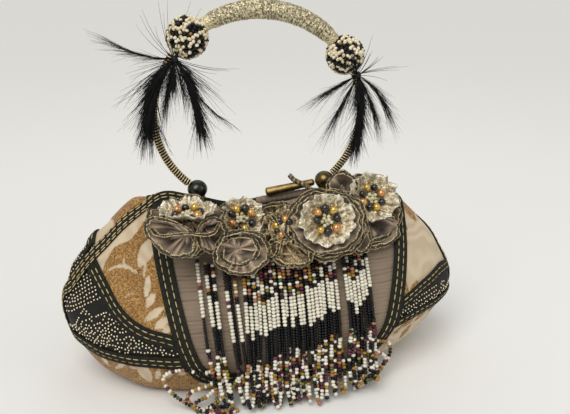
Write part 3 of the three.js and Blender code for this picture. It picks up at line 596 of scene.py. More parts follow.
def rolled(p):
    x, y, z = p[..., 0], p[..., 1], p[..., 2]
    grows = lambda t, key: smooth(t, *roll[key])
    fades = lambda t, key: 1 - smooth(t, *roll[key])
    bulge = lambda away: away / roll["peak"] * np.exp(1 - away / roll["peak"])
    hump = lambda key: roll[key] * np.exp(-((x - roll[key + "At"]) / roll[key + "Wide"]) ** 2)
    share = grows(-x, "left") * fades(-x, "leftEnd")
    below = np.clip((column("ridge", x) - z) / roll["front"], 0, 1)
    behind = np.maximum(0, y)
    held = np.where(y > 0, np.clip(1 - behind / roll["back"], 0, 1) ** 2, (1 - below) ** 2)
    swell = (roll["crown"] + roll["tip"] * grows(-x, "tipFrom")) * bulge(behind)
    puff = roll["puff"] * bulge(np.maximum(0, -y)) * grows(x, "puffFrom") * fades(x, "puffTo")
    belly = column("belly", x)
    high = smooth(z, belly, belly + roll["above"])
    z = z - hump("sag") * grows(z, "sagFrom")
    heel = roll["heel"] * grows(x, "heelFrom") + roll["heelLeft"] * grows(-x, "heelLeftFrom")
    z = z + share * high * (swell - roll["down"] * held) + high * puff + heel * fades(z, "heelTo")
    z = z + hump("crest") * grows(z, "crestFrom")
    tuck = roll["tuck"] * grows(-x, "tuckFrom") * grows(z, "tuckAbove") * fades(z, "tuckTo")
    return np.stack([x + tuck, y - share * roll["forward"] * held * high, z], -1)


def flatFace(x, z):
    return np.stack([x, -depthAt(x, z), z], -1)


def faced(p, back):
    return p * (1, -1, 1) if back else p


def onFace(x, z, lift=0.0, back=False):
    x, z = np.broadcast_arrays(np.asarray(x, float), np.asarray(z, float))
    p = flatFace(x, z) + frontNormal(x, z) * np.broadcast_to(lift, x.shape)[..., None]
    return rolled(faced(p, back))


def faceNormal(x, z, back):
    return faced(frontNormal(np.asarray(x, float), np.asarray(z, float)), back)


# lines in the front view
def arcOf(path):
    return np.concatenate([[0], np.cumsum(np.linalg.norm(np.diff(path, axis=0), axis=1))])


def sample(spots, arc, rows):
    return np.stack([np.interp(spots, arc, values) for values in rows.T], -1)


def even(line, count=240):
    arc = arcOf(line)
    return sample(np.linspace(0, arc[-1], count), arc, line)


def at(line, t):
    return sample(t, np.linspace(0, 1, len(line)), line)


def cut(line, low, high, count=160):
    return at(line, np.linspace(low, high, count))


def spline(rows, fine=24):
    p = np.array(rows, float)
    p = np.concatenate([p[:1], p, p[-1:]])
    t = np.linspace(0, 1, fine, endpoint=False)[:, None]
    out = []
    for a, b, c, d in zip(p, p[1:], p[2:], p[3:]):
        leave, reach = (c - a) / 2, (d - b) / 2
        cubic, square = 2 * b - 2 * c + leave + reach, 3 * c - 3 * b - 2 * leave - reach
        out.append(cubic * t ** 3 + square * t ** 2 + leave * t + b)
    return even(np.concatenate(out + [p[-1:]]))


def beside(line, distance):
    ahead = line + 0.2 * unit(np.gradient(line, axis=0))
    here = flatFace(*line.T)
    across = np.cross(frontNormal(*line.T), unit(flatFace(*ahead.T) - here))
    return (here + across * np.broadcast_to(distance, len(line))[:, None])[:, [0, 2]]


def meet(first, second):
    p, r = first[:-1, None], np.diff(first, axis=0)[:, None]
    q, s = second[None, :-1], np.diff(second, axis=0)[None]
    turn = lambda a, b: a[..., 0] * b[..., 1] - a[..., 1] * b[..., 0]
    cross = turn(r, s)
    cross = np.where(np.abs(cross) < 1e-12, 1e-12, cross)
    u, v = turn(q - p, s) / cross, turn(q - p, r) / cross
    i, j = np.argwhere((u >= 0) & (u <= 1) & (v >= 0) & (v <= 1))[0]
    return (i + u[i, j]) / (len(first) - 1), (j + v[i, j]) / (len(second) - 1)


def rimAt(e):
    share = np.abs(e)
    x = bag["halfLength"] * np.sin(math.pi * share)
    return np.stack([np.sign(e) * x, np.where(share < 0.5, column("ridge", x), column("under", x))], -1)


# walks from the rim over the front face; distances (n, k) for shares e (n)
def besideRim(e, distances):
    start = rimAt(e)
    tangent = unit(rimAt(e + 0.003) - rimAt(e - 0.003))
    inward = np.stack([tangent[:, 1], -tangent[:, 0]], 1)
    inset = np.arange(0, 40, 0.25)
    x, z = (start[:, None, k] + inward[:, None, k] * inset for k in (0, 1))
    crown = np.stack([start[:, 0], 0 * start[:, 0], start[:, 1]], 1)
    walk = np.concatenate([crown[:, None], flatFace(x, z)], 1)
    return np.stack([sample(wanted, arcOf(line), line) for wanted, line in zip(distances, walk)])


seams = {
    "panel": [(86, 116), (85.5, 96), (84, 80), (80.5, 66), (76, 51), (71, 36), (65, 23), (54, 14.5), (40, 13),
              (8, 13), (-25, 13), (-38, 14), (-48, 21), (-54, 35), (-57.5, 48), (-61.5, 68), (-64.5, 86),
              (-66, 100), (-67, 116)],
    "leftUpper": [(46, 34), (62, 41), (75, 44.5), (86, 50), (94, 57.5), (100, 67.5), (105, 78), (109, 90)],
    "leftLower": [(44, 28.5), (62, 27.5), (76, 27.5), (90, 26.2), (105, 26.2), (117, 28.5), (128, 31)],
    "rightUpper": [(60, 41), (78, 47.5), (92, 51), (103, 52.5), (114, 53.5), (122, 55), (130, 57)],
    "rightLower": [(60, 29), (73, 33), (83, 36), (95, 37.5), (109, 37.5), (120, 37.5), (130, 38)],
    "panelHalf": 4.8, "wedgeHalf": {1: 2.9, -1: 3.8}, "hidden": (-1.6, 1.2), "edge": (0.2, 0.0),
}
panelLine = {1: spline(seams["panel"]), -1: spline([(-x, z) for x, z in reversed(seams["panel"])])}
upperLine = {1: spline(seams["rightUpper"]), -1: spline(seams["leftUpper"])}
lowerLine = {1: spline(seams["rightLower"]), -1: spline(seams["leftLower"])}
rimShares = np.linspace(0.02, 0.75, 240)
# where the cloth swells up to the ridge, so that its webbing hardly shows
slim = {(-1, True): (58, 72, 200, 201), (1, False): (62, 76, 98, 116), "reach": 1.7}


def tapeReach(x, side, back):
    full = lipDepth(x) + seams["panelHalf"]
    if (side, back) not in slim:
        return full
    start, reached, leave, end = slim[side, back]
    return full + (np.minimum(full, slim["reach"]) - full) * smooth(x, start, reached) * (1 - smooth(x, leave, end))


def rimLine(side, back, more, least):
    reach = np.maximum(least, tapeReach(rimAt(rimShares)[:, 0], side, back) + more)
    return even(besideRim(rimShares, reach[:, None])[:, 0][:, [0, 2]])


quarters = [(side, back) for side in (1, -1) for back in (False, True)]
rimHidden = {quarter: rimLine(*quarter, *seams["hidden"]) for quarter in quarters}
rimEdge = {quarter: rimLine(*quarter, *seams["edge"]) for quarter in quarters}
sides = {1: "right", -1: "left"}
faces = {False: "front", True: "back"}
print("stage: surface and seams")


# cloth patches between lines of the front view
def threeSided(first, second, far, u, v):
    a, b = (1 - v)[:, None], u[:, None]
    straight = at(first, 1 - v) * (1 - b) + at(second, 1 - v) * b
    chord = far[0] * (1 - b) + far[-1] * b
    return straight + (at(far, u) - chord) * a * a


def fourSided(top, bottom, left, right, u, v):
    a, b = u[:, None], v[:, None]
    ruled = at(bottom, u) * (1 - b) + at(top, u) * b
    sideways = at(left, v) * (1 - a) + at(right, v) * a
    corners = (bottom[0] * (1 - a) + bottom[-1] * a) * (1 - b) + (top[0] * (1 - a) + top[-1] * a) * b
    return ruled + sideways - corners


# the middle panel: rows of pin tucks that keep level, cut to the webbing round it
tucks = {"pitch": 2.35, "depth": 0.62, "perPitch": 4, "columns": 48, "low": 12.9, "probe": 10.0}


def buildPanel(back):
    line = panelLine[1]
    right, left = line[line[:, 0] >= tucks["probe"]][::-1], line[line[:, 0] < tucks["probe"]]
    topAt = lambda x: np.interp(np.abs(x), rimHidden[1, True][:90, 0], rimHidden[1, True][:90, 1])
    high = float(topAt(tucks["probe"]))
    heights = np.linspace(tucks["low"], high, 400)
    probe = np.stack([depthAt(tucks["probe"] + 0 * heights, heights), heights], 1)
    arc = arcOf(probe)
    count = int(arc[-1] / tucks["pitch"])
    draw = np.random.default_rng(5)
    deep, sway = draw.uniform(0.35, 1.0, count + 4), draw.uniform(0, 6.28, count + 4)

    def lay(u, v):
        z = np.interp(v * arc[-1], arc, heights)
        low = np.interp(z, np.maximum.accumulate(left[:, 1]), left[:, 0])
        top = np.interp(z, np.maximum.accumulate(right[:, 1]), right[:, 0])
        x = low + (top - low) * u
        share = (z - tucks["low"]) / (high - tucks["low"])
        return x, z + (topAt(x) - high) * share ** 3

    def folds(u, v):
        x, z = lay(u, v)
        phase = v * arc[-1] / tucks["pitch"] + 0.16 * np.sin(x / 13 + 1) + 0.10 * np.sin(x / 5.1 + v * 40)
        k = np.clip(np.floor(phase + 0.5).astype(int), 0, count + 3)
        near = np.abs(np.sin(math.pi * phase)) ** 0.6
        strong = deep[k] * (0.75 + 0.25 * np.sin(x / 19 + sway[k]))
        return x, z, (1 - near) * strong

    def place(u, v):
        x, z, fold = folds(u, v)
        return onFace(x, z, -tucks["depth"] * fold, back)

    rows = count * tucks["perPitch"]
    # painted shade along the crease of each pin tuck
    marks = lambda u, v: {"paintedShade": 0.9 * folds(u, v)[2] ** 1.4}
    obj = gridPiece(f"panel_{faces[back]}_cloth", tucks["columns"], rows, place, (150, arc[-1]), back, marks)
    thicken(obj, bag["cloth"])
    dress(obj, "panel", "tucked_cloth", f"panel_{faces[back]}")


# tapestry: leaves charted from tip to tip (x, z, x, z, width), cut out of brown pile or laid on cream
tapestry = {
    "leftLeaves": [(-69.4, 92.5, -77.8, 80.9, 8.6), (-97, 76.6, -91.5, 79.4, 1.7), (-92.5, 79.2, -87.2, 79.9, 2.4),
                   (-88, 79.9, -83.6, 79.2, 2.6), (-84.4, 79.4, -79.6, 76.6, 1.7),
                   (-86.9, 84, -87.7, 79, 1.6), (-73.4, 75.0, -75.3, 65.3, 3.9), (-74.6, 81.5, -76.1, 75, 1.7),
                   (-70.7, 66.4, -75.3, 60.3, 4.9), (-66.2, 59.6, -76.8, 52.9, 4.6),
                   (-63.4, 54.5, -71.2, 48.9, 5.0), (-61, 49.9, -67.5, 46.4, 3.6), (-88, 63, -84.4, 66.4, 1.3),
                   (-85, 66.3, -81.4, 66.2, 1.1)],
    "leftBand": [(-62, 107), (-70, 103.5), (-78, 98.6), (-85, 94.5), (-92, 89.5), (-98, 82), (-104, 68)],
    "rightLeaves": [(88, 104, 98.5, 83, 11), (95, 98, 103, 87, 6), (87.6, 78.6, 87, 75.4, 4.6),
                    (85.2, 72.8, 84.4, 69.2, 5), (83.4, 59.4, 80.4, 49, 8.6),
                    (93.5, 55.6, 86.2, 50.4, 5.4), (89, 84.5, 90.5, 81, 2.6)],
    "baseCream": [(-97, 13.5, -89.5, 23.6, 3.0), (-90, 23.2, -85, 18.4, 3.0), (-81.8, 26, -76.8, 10.5, 8.4),
                  (-61.2, 24.6, -66.4, 15.4, 4.2), (-59.5, 20.5, -56, 19.5, 5.0),
                  (-106, 24, -101, 14, 4.5), (-71, 22, -72, 13, 3.4), (-48, 10, -36, 6, 5), (-30, 10, -14, 6, 6)],
    "baseBrown": [(90.6, 34, 79.8, 25.6, 6.6), (78, 23, 75, 19, 4.5), (84, 34.8, 77, 33, 4.0), (101, 33, 92, 25, 6),
                  (112, 34, 104, 27, 5), (70, 22, 66, 14, 6),
                  (88, 20, 82, 10, 7), (52, 9, 40, 5, 6), (28, 10, 16, 5, 6)],
    "pile": 0.55, "turnsCreamAt": 22.0,
}


def leaves(points, table, back):
    best = np.full(len(points), -6.0)
    for x, z, x2, z2, width in table:
        a, b = onFace(x, z, 0, back), onFace(x2, z2, 0, back)
        t = np.clip((points - a) @ (b - a) / ((b - a) @ (b - a)), 0, 1)
        off = np.linalg.norm(points - a - t[:, None] * (b - a), axis=1)
        half = width / 2 * np.sin(math.pi * (0.1 + 0.8 * t)) ** 0.9
        best = np.maximum(best, half - off)
    return best


def shoulderMotif(points, x, z, side, back):
    if side > 0:
        return leaves(points, tapestry["rightLeaves"], back)
    bound = np.array(sorted(tapestry["leftBand"]))
    if back:
        edge = x + 91 + 0.3 * (100 - z)
    else:
        edge = np.interp(x, bound[:, 0], bound[:, 1]) - z + 1.2 * np.sin(x / 3.1)
    return np.minimum(np.clip(edge, -6, 6), -leaves(points, tapestry["leftLeaves"], back))


def buildSide(side, back):
    half = cut(panelLine[side], 0, 0.5)
    upper, lower = upperLine[side], lowerLine[side]
    rim = rimHidden[side, back]
    upperIn, panelUpper = meet(upper, half)
    upperOut, rimUpper = meet(upper, rim)
    lowerIn, panelLower = meet(lower, half)
    lowerOut, rimLower = meet(lower, rim)
    panelTop, rimTop = meet(half, rim)
    tall = [cut(half, panelTop, panelUpper), cut(rim, rimTop, rimUpper), cut(upper, upperIn, upperOut)]
    wedge = [cut(upper, upperIn, upperOut), cut(lower, lowerIn, lowerOut), cut(half, panelLower, panelUpper),
             cut(rim, rimLower, rimUpper)]
    flip = (side < 0) != back
    name = f"{faces[back]}_{sides[side]}"

    def motif(u, v):
        x, z = threeSided(*tall, u, v).T
        return shoulderMotif(onFace(side * x, z, 0, back), side * x, z, side, back)

    def place(u, v):
        x, z = threeSided(*tall, u, v).T
        return onFace(side * x, z, tapestry["pile"] * smooth(motif(u, v), -0.4, 0.7), back)

    marks = lambda u, v: {"motif": motif(u, v)}
    shoulder = gridPiece(f"shoulder_{name}_cloth", 60, 60, place, (70, 70), flip, marks)
    thicken(shoulder, bag["cloth"])
    dress(shoulder, "tapestry", "tapestry", f"shoulder_{name}")

    def placeWedge(u, v):
        x, z = fourSided(*wedge, u, v).T
        return onFace(side * x, z, 0.12 * np.sin(u * 23) * np.sin(v * 9), back)

    black = gridPiece(f"wedge_{name}_cloth", 44, 36, placeWedge, (80, 45), flip)
    thicken(black, bag["cloth"])
    dress(black, "blackCloth", "studded_cloth", f"studded_{name}")
    return np.concatenate([wedge[0], wedge[3][::-1], wedge[1][::-1], wedge[2]])


# the underside: rows across from the back edge, over the flat, to the front edge
def buildBase():
    ends = {}
    for side in (1, -1):
        half = cut(panelLine[side], 0, 0.5)
        lowerIn, panelLower = meet(lowerLine[side], half)
        lowerOut = meet(lowerLine[side], rimHidden[side, False])[0]
        ends[side] = np.concatenate([half[::-1][: int((1 - panelLower) * (len(half) - 1))],
                                     cut(lowerLine[side], lowerIn, lowerOut - 0.02)])
    edge = np.concatenate([ends[-1][::-1] * (-1, 1), ends[1]])
    edge = edge[np.argsort(edge[:, 0], kind="stable")]

    def place(u, v):
        out = np.empty((len(u), 3))
        for share in np.unique(u):
            row = u == share
            x = edge[0, 0] + (edge[-1, 0] - edge[0, 0]) * share
            z = np.interp(x, edge[:, 0], edge[:, 1])
            depth, belly, under, foot = (float(column(k, x)) for k in ("depth", "belly", "under", "foot"))
            start = math.asin(min(1, max(0, (belly - z) / (belly - under))))
            a = np.linspace(math.pi / 2, start, 24)
            y, h = foot + (depth - foot) * np.cos(a), belly - (belly - under) * np.sin(a)
            path = np.stack([np.concatenate([y[::-1], -y]), np.concatenate([h[::-1], h])], 1)
            out[row, 0] = x
            out[row, 1:] = at(even(path, 90), v[row])
        return rolled(out)

    def motif(u, v):
        p = place(u, v)
        back = p[:, 1] > 0
        cream, brown = (np.where(back, leaves(p, tapestry[key], True), leaves(p, tapestry[key], False))
                        for key in ("baseCream", "baseBrown"))
        return np.where(p[:, 0] < tapestry["turnsCreamAt"] + 4 * np.sin(p[:, 1] / 6), -cream, brown)

    obj = gridPiece("base_cloth", 132, 48, place, (250, 170), False, lambda u, v: {"motif": motif(u, v)})
    thicken(obj, bag["cloth"])
    dress(obj, "tapestry", "tapestry", "base_panel")


for back in (False, True):
    buildPanel(back)
wedges = {quarter: buildSide(*quarter) for quarter in quarters}
buildBase()
print("stage: cloth panels")

# webbing on the seams, with rows of gold stitches
webbing = {"panelRows": (-2.05, 2.05), "rimRows": (-3.9, -1.5, 1.5, 3.9), "step": 4.9, "stitch": (0.38, 0.30, 2.1),
           "thick": 1.0, "across": 8, "gold": (0.46, 0.34, 0.14), "pale": (0.66, 0.53, 0.28),
           "rimThick": 1.15, "bevel": 0.3, "bevelAngle": 0.9, "stray": 0.25, "rimLift": 1.3,
           "rimShown": 3.2, "rise": 0.2, "crown": 0.4, "sink": 0.55, "sinkWide": 0.5, "proud": 0.12, "weave": 1.2,
           "wedgeRow": 0.43, "panelSteps": 190, "wedgeSteps": 60}
stitchShape = unitShape(6, 4)
stitches = {"place": [], "along": [], "normal": []}


def addStitches(line, normals):
    arc, step = arcOf(line), webbing["step"]
    spots = np.arange(step * 0.6, arc[-1] - step * 0.4, step)
    spots = spots + rng.uniform(-webbing["stray"], webbing["stray"], len(spots))
    stitches["place"].append(sample(spots, arc, line))
    along = sample(spots, arc, np.gradient(line, axis=0))
    stitches["along"].append(along + rng.normal(0, 0.01, (len(spots), 3)))
    stitches["normal"].append(sample(spots, arc, normals))


def roundEdges(obj):
    angle = webbing["bevelAngle"]
    modifier(obj, "BEVEL", width=webbing["bevel"] * mm, segments=2, limit_method="ANGLE", angle_limit=angle)


# places for a grid that has one vertex for each given point
def onLattice(points):
    rows, across = points.shape[0] - 1, points.shape[1] - 1
    return lambda u, v: points[np.rint(u * rows).astype(int), np.rint(v * across).astype(int)]


def buildTape(name, offsets, lines, rows, side, back, node):
    count = len(offsets) - 1
    width = offsets[-1] - offsets[0]
    sink = sum(webbing["sink"] * np.exp(-((offsets - row) / webbing["sinkWide"]) ** 2) for row in rows)
    rise = webbing["rise"] + webbing["crown"] * (1 - (2 * np.abs(offsets) / width) ** 4) - sink

    def place(u, v):
        k = np.rint(v * count).astype(int)
        p = np.stack([at(line, u) for line in lines])[k, np.arange(len(u))]
        return onFace(side * p[:, 0], p[:, 1], rise[k], back)

    length = len(lines[0])
    obj = gridPiece(name, length, count, place, (webbing["weave"] * length, width), (side < 0) != back)
    thicken(obj, webbing["thick"], 1)
    roundEdges(obj)
    dress(obj, "webbing", "webbing", node)
    for row in rows:
        k = int(np.argmin(np.abs(offsets - row)))
        x, z = side * lines[k][:, 0], lines[k][:, 1]
        lift = webbing["thick"] + rise[k] + webbing["proud"]
        addStitches(onFace(x, z, lift, back), faceNormal(x, z, back))


def buildPanelTape(back):
    offsets = np.linspace(-seams["panelHalf"], seams["panelHalf"], webbing["across"] * 2 + 1)
    lines = []
    for offset in offsets:
        whole = even(beside(panelLine[1], offset), 400)
        mirrored = whole[::-1] * (-1, 1)
        first, last = meet(whole, rimEdge[1, back])[0], 1 - meet(mirrored, rimEdge[-1, back])[0]
        lines.append(cut(whole, first, last, webbing["panelSteps"]))
    buildTape(f"panel_tape_{faces[back]}", offsets, lines, webbing["panelRows"], 1, back,
              f"panel_trim_{faces[back]}")


def buildWedgeTape(seam, label, side, back):
    half = seams["wedgeHalf"][side]
    offsets = np.linspace(-half, half, webbing["across"] * 2 + 1)
    outer = even(beside(cut(panelLine[side], 0, 0.5), seams["panelHalf"] + seams["edge"][0]))
    lines = []
    for offset in offsets:
        whole = even(beside(seam, offset))
        first, last = meet(whole, outer)[0], meet(whole, rimEdge[side, back])[0]
        lines.append(cut(whole, first, last, webbing["wedgeSteps"]))
    name = f"{faces[back]}_{sides[side]}"
    row, trim = webbing["wedgeRow"] * half, f"wedge_trim_{label}_{name}"
    buildTape(f"wedge_tape_{label}_{name}", offsets, lines, (-row, row), side, back, trim)


# webbing folded over the ridge and round a tip
rimTape = {"shares": 120, "across": 18, "start": math.asin(44.4 / bag["halfLength"]) / math.pi, "end": 0.605}


def buildRimTape(side):
    shares = np.linspace(rimTape["start"], rimTape["end"], rimTape["shares"] + 1)
    ahead, behind = (tapeReach(rimAt(shares)[:, 0], side, back) for back in (False, True))
    parts = np.linspace(-1, 1, rimTape["across"] + 1)
    walked = besideRim(shares, np.where(parts < 0, ahead[:, None], behind[:, None]) * np.abs(parts))
    walked[..., 1] *= np.where(parts < 0, 1, -1)
    walked[..., 0] *= side
    walked = rolled(walked)
    place = onLattice(walked)
    obj = gridPiece(f"rim_tape_{sides[side]}", rimTape["shares"], rimTape["across"], place, (200, 10), side < 0)
    modifier(obj, "SMOOTH", factor=0.5, iterations=2)
    thicken(obj, webbing["rimThick"], 1)
    roundEdges(obj)
    dress(obj, "webbing", "webbing", f"end_trim_{sides[side]}")
    n = np.cross(np.gradient(walked, axis=0), np.gradient(walked, axis=1)) * side
    for row in webbing["rimRows"]:
        k = int(np.argmin(np.abs(parts * seams["panelHalf"] - row)))
        shown = np.flatnonzero((row > 0) | (ahead > webbing["rimShown"]))
        for run in np.split(shown, np.flatnonzero(np.diff(shown) > 1) + 1):
            addStitches(walked[run, k] + unit(n[run, k]) * webbing["rimLift"], unit(n[run, k]))


# the two lips of the mouth, bound in webbing to the left and in the panel's cloth to the right
lips = {"inside": 7.0, "outside": 4.9, "reach": 43.6, "split": -3.0, "rows": 54, "across": 13, "wall": 0.7,
        "clear": 0.15, "front": 0.25, "behind": 0.35, "ribs": (1.1, 2.6), "pleat": 0.3,
        "swell": (0.35, 0.9), "raise": (0.5, 1.1)}


def buildLip(back, low, high, look, slot, node):
    shares = np.arcsin(np.linspace(low, high, lips["rows"] + 1) / bag["halfLength"]) / math.pi
    lip = lipDepth(rimAt(shares)[:, 0])[:, None]
    turn = np.linspace(-lips["outside"], lips["inside"], lips["across"] + 1)
    walked = besideRim(np.where(shares == 0, 1e-5, shares), lip + np.abs(turn) + lips["clear"])
    ribs = lambda p: np.abs(np.sin(p[..., 0] / lips["ribs"][0] + p[..., 2] / lips["ribs"][1]))
    bump = lambda high, wide: high * np.exp(-(turn / wide) ** 2)
    out = np.where(turn < 0, lips["front"], -bag["cloth"] - lips["behind"]) + bump(*lips["swell"])
    pleat = lips["pleat"] * ribs(walked) if look == "panel" else 0
    lift = out + pleat * np.where(turn < 0, 1, -1)
    walked = walked + frontNormal(walked[..., 0], walked[..., 2]) * lift[..., None]
    walked[..., 2] += bump(*lips["raise"])
    place = onLattice(rolled(faced(walked, back)))
    # painted shade in the valleys between the pleats
    marks = lambda u, v: {"paintedShade": 0.5 * (1 - ribs(place(u, v))) ** 2}
    obj = gridPiece(f"lip_{faces[back]}_{slot}", lips["rows"], lips["across"], place, (high - low, 12), back, marks)
    thicken(obj, lips["wall"], 1)
    dress(obj, look, slot, *node)


for back in (False, True):
    buildPanelTape(back)
    buildLip(back, -lips["reach"], lips["split"], "webbing", "webbing", (f"lip_binding_{faces[back]}",))
    buildLip(back, lips["split"] + 0.1, lips["reach"], "panel", "tucked_cloth", ())
    for side in (1, -1):
        buildWedgeTape(upperLine[side], "upper", side, back)
        buildWedgeTape(lowerLine[side], "lower", side, back)
for side in (1, -1):
    buildRimTape(side)
sewn = {key: np.concatenate(rows) for key, rows in stitches.items()}
shade = rng.uniform(0, 1, (len(sewn["place"]), 1))
goldThread = np.array(webbing["gold"]) * (1 - shade) + np.array(webbing["pale"]) * shade
rows = scatter("gold_stitches", stitchShape, sewn["place"], sewn["along"], sewn["normal"], webbing["stitch"],
               goldThread)
dress(rows, "thread", "webbing")
print("stage: webbing and", len(shade), "stitches")


# metal dots on the black wedges: rows, a zigzag, swirls and a loose scatter, charted for the left and the right
dots = {
    "size": (0.62, 0.62, 0.42), "seamEdge": 0.7, "rimEdge": 1.6, "gap": 1.8, "stray": 0.16, "onLine": 1.9,
    "tries": 2600, "crest": np.arange(2.8, 19, 2.2),
    "left": {"rowsFrom": [(128, 45.6), (123, 49), (113.2, 55.4), (102.7, 61.3), (94, 66)], "rows": 12,
             "pitch": 2.15, "spacing": 2.3,
             "lines": [[(123, 38), (114, 52.6), (108.5, 48.8), (97, 55.5), (90.7, 49.7), (84, 44)],
                       [(121, 33), (112, 36), (104, 33.5), (95, 34.5), (84, 33), (70, 34)]],
             "below": [(128, 36), (123, 39), (114, 52), (108.5, 48.4), (97, 55), (90.7, 49.2), (84, 44), (60, 40)],
             "swirls": [(113, 41.5, 4.4), (104.7, 44, 4.6), (95, 44.5, 4.8), (99.5, 37, 3.6), (117.8, 32, 2.8),
                        (86, 38.5, 3.8), (77, 38.5, 2.8)], "loose": 2.3, "first": 400},
    "right": {"rowsFrom": [(70, 37.5), (84, 43), (96, 45), (111, 45.6)], "rows": 9, "pitch": 2.35, "spacing": 2.3,
              "below": [(128, 46), (113, 45), (96, 43.5), (84, 41.5), (60, 36)],
              "lines": [], "swirls": [(104, 42.5, 3.0), (90, 42, 2.6), (118, 46, 3.4)], "loose": 2.9, "first": 120},
}


def inside(points, outline):
    a, b = outline, np.roll(outline, -1, 0)
    x, z = points[:, 0, None], points[:, 1, None]
    rise = np.where(a[:, 1] == b[:, 1], 1e-9, b[:, 1] - a[:, 1])
    crosses = ((a[:, 1] > z) != (b[:, 1] > z)) & (x < a[:, 0] + (z - a[:, 1]) / rise * (b[:, 0] - a[:, 0]))
    near = np.min(np.hypot(x - a[:, 0], z - a[:, 1]), 1)
    return np.where(crosses.sum(1) % 2 == 1, near, -near)


def dotted(line, spacing, offset=0.0):
    arc = arcOf(line)
    return sample(np.arange(offset * spacing, arc[-1], spacing), arc, line)


def dotPlaces(chart, outline, rim, joins, draw, crest):
    spots = []
    rowsFrom = spline(chart["rowsFrom"])
    up = unit(np.gradient(rowsFrom, axis=0))[:, ::-1] * (1, -1)
    up = up * np.sign(up[:, 1:])
    for row in range(chart["rows"]):
        spots.append(dotted(even(rowsFrom + up * row * chart["pitch"]), chart["spacing"], 0.5 * (row % 2)))
    for line in chart["lines"]:
        spots.append(dotted(np.array(line, float), dots["onLine"]))
    for x, z, radius in chart["swirls"]:
        t = np.linspace(0, 1, 60)
        turn = 4.3 * math.pi * t + x
        swirl = np.stack([x + radius * t * np.cos(turn), z + 0.9 * radius * t * np.sin(turn)], 1)
        spots.append(dotted(swirl, dots["onLine"]))
    if crest:
        shares = np.arcsin(np.arange(100, 127.5, 1.5) / bag["halfLength"]) / math.pi
        walked = besideRim(shares, np.tile(dots["crest"], (len(shares), 1)))
        spots.insert(0, walked.reshape(-1, 3)[:, [0, 2]])
    low, high = outline.min(0), outline.max(0)
    loose = low + (high - low) * draw.uniform(0, 1, (dots["tries"], 2))
    bound = np.array(sorted(chart["below"]), float)
    spots.append(loose[loose[:, 1] < np.interp(loose[:, 0], bound[:, 0], bound[:, 1]) - 1.2])
    everything = np.concatenate(spots)
    everything = everything + draw.normal(0, dots["stray"], everything.shape)
    everything = everything[inside(everything, outline) > 0]
    solid = lambda line: flatFace(*line.T)
    away = lambda line: np.min(np.linalg.norm(solid(everything)[:, None] - solid(line)[None, ::2], axis=2), 1)
    clear = np.min([away(line) - half for line, half in joins], 0)
    everything = everything[(away(rim) > dots["rimEdge"]) & (clear > dots["seamEdge"])]
    kept = np.empty((0, 3))
    for spot in solid(everything):
        gap = dots["gap"] if len(kept) < chart["first"] else chart["loose"]
        if not len(kept) or np.min(np.linalg.norm(kept - spot, axis=1)) > gap:
            kept = np.concatenate([kept, spot[None]])
    return kept[:, [0, 2]]


domeShape = unitShape(7, 4)
for (side, back), outline in wedges.items():
    half = seams["wedgeHalf"][side]
    joins = [(upperLine[side], half), (lowerLine[side], half), (panelLine[side], seams["panelHalf"])]
    draw = np.random.default_rng(3)
    places = dotPlaces(dots[sides[side]], outline, rimHidden[side, back], joins, draw, back and side < 0)
    x, z = side * places[:, 0], places[:, 1]
    normals = faceNormal(x, z, back)
    name = f"metal_dots_{faces[back]}_{sides[side]}"
    domes = scatter(name, domeShape, onFace(x, z, 0.1, back), normals, (1.0, 0.1, 0.2), dots["size"])
    dress(domes, "dot", "studded_cloth")
print("stage: metal dots")

# the ring handle
ring = {"middleX": -1.2, "halfWide": 63.2, "halfHigh": 62.0, "height": 162.0, "drawIn": 5.6,
        "grip": (43.4, 121.0), "gripMiddle": 5.7, "gripEnds": 4.2, "core": 2.15, "wire": 0.38, "wireOut": 0.22,
        "wirePitch": 1.72,
        "balls": {"left": (131.0, 12.6), "right": (34.0, 12.0)},
        "legs": {"left": (142.6, 223.2), "right": (22.9, -41.2)},
        "sockets": {"left": 229.0, "right": -47.0}, "socket": 6.0, "stem": 4.3, "stemFoot": 111.5}


def ringAt(degrees):
    a = np.radians(degrees)
    less = ring["drawIn"] * np.maximum(0, -np.sin(a)) ** 2
    x = ring["middleX"] + (ring["halfWide"] - less) * np.cos(a)
    return np.stack([x, 0 * a, ring["height"] + (ring["halfHigh"] - less) * np.sin(a)], -1)


# a closed tube along a path, its radius free to vary along and around
def tube(name, around, along, path, radius, marks=None):
    def place(u, v):
        tangent = unit(path(np.minimum(1, v + 1e-3)) - path(np.maximum(0, v - 1e-3)))
        first, second = squareTo(tangent, (0, 1, 0))
        a = (fullTurn * u)[:, None]
        return path(v) + radius(u, v)[:, None] * (np.cos(a) * first + np.sin(a) * second)

    return gridPiece(name, around, along, place, (30, 80), False, marks, True)


def closed(v, radius, cap):
    return radius * np.sqrt(np.clip(1 - (1 - np.clip(np.minimum(v, 1 - v) / cap, 0, 1)) ** 2, 0, 1))


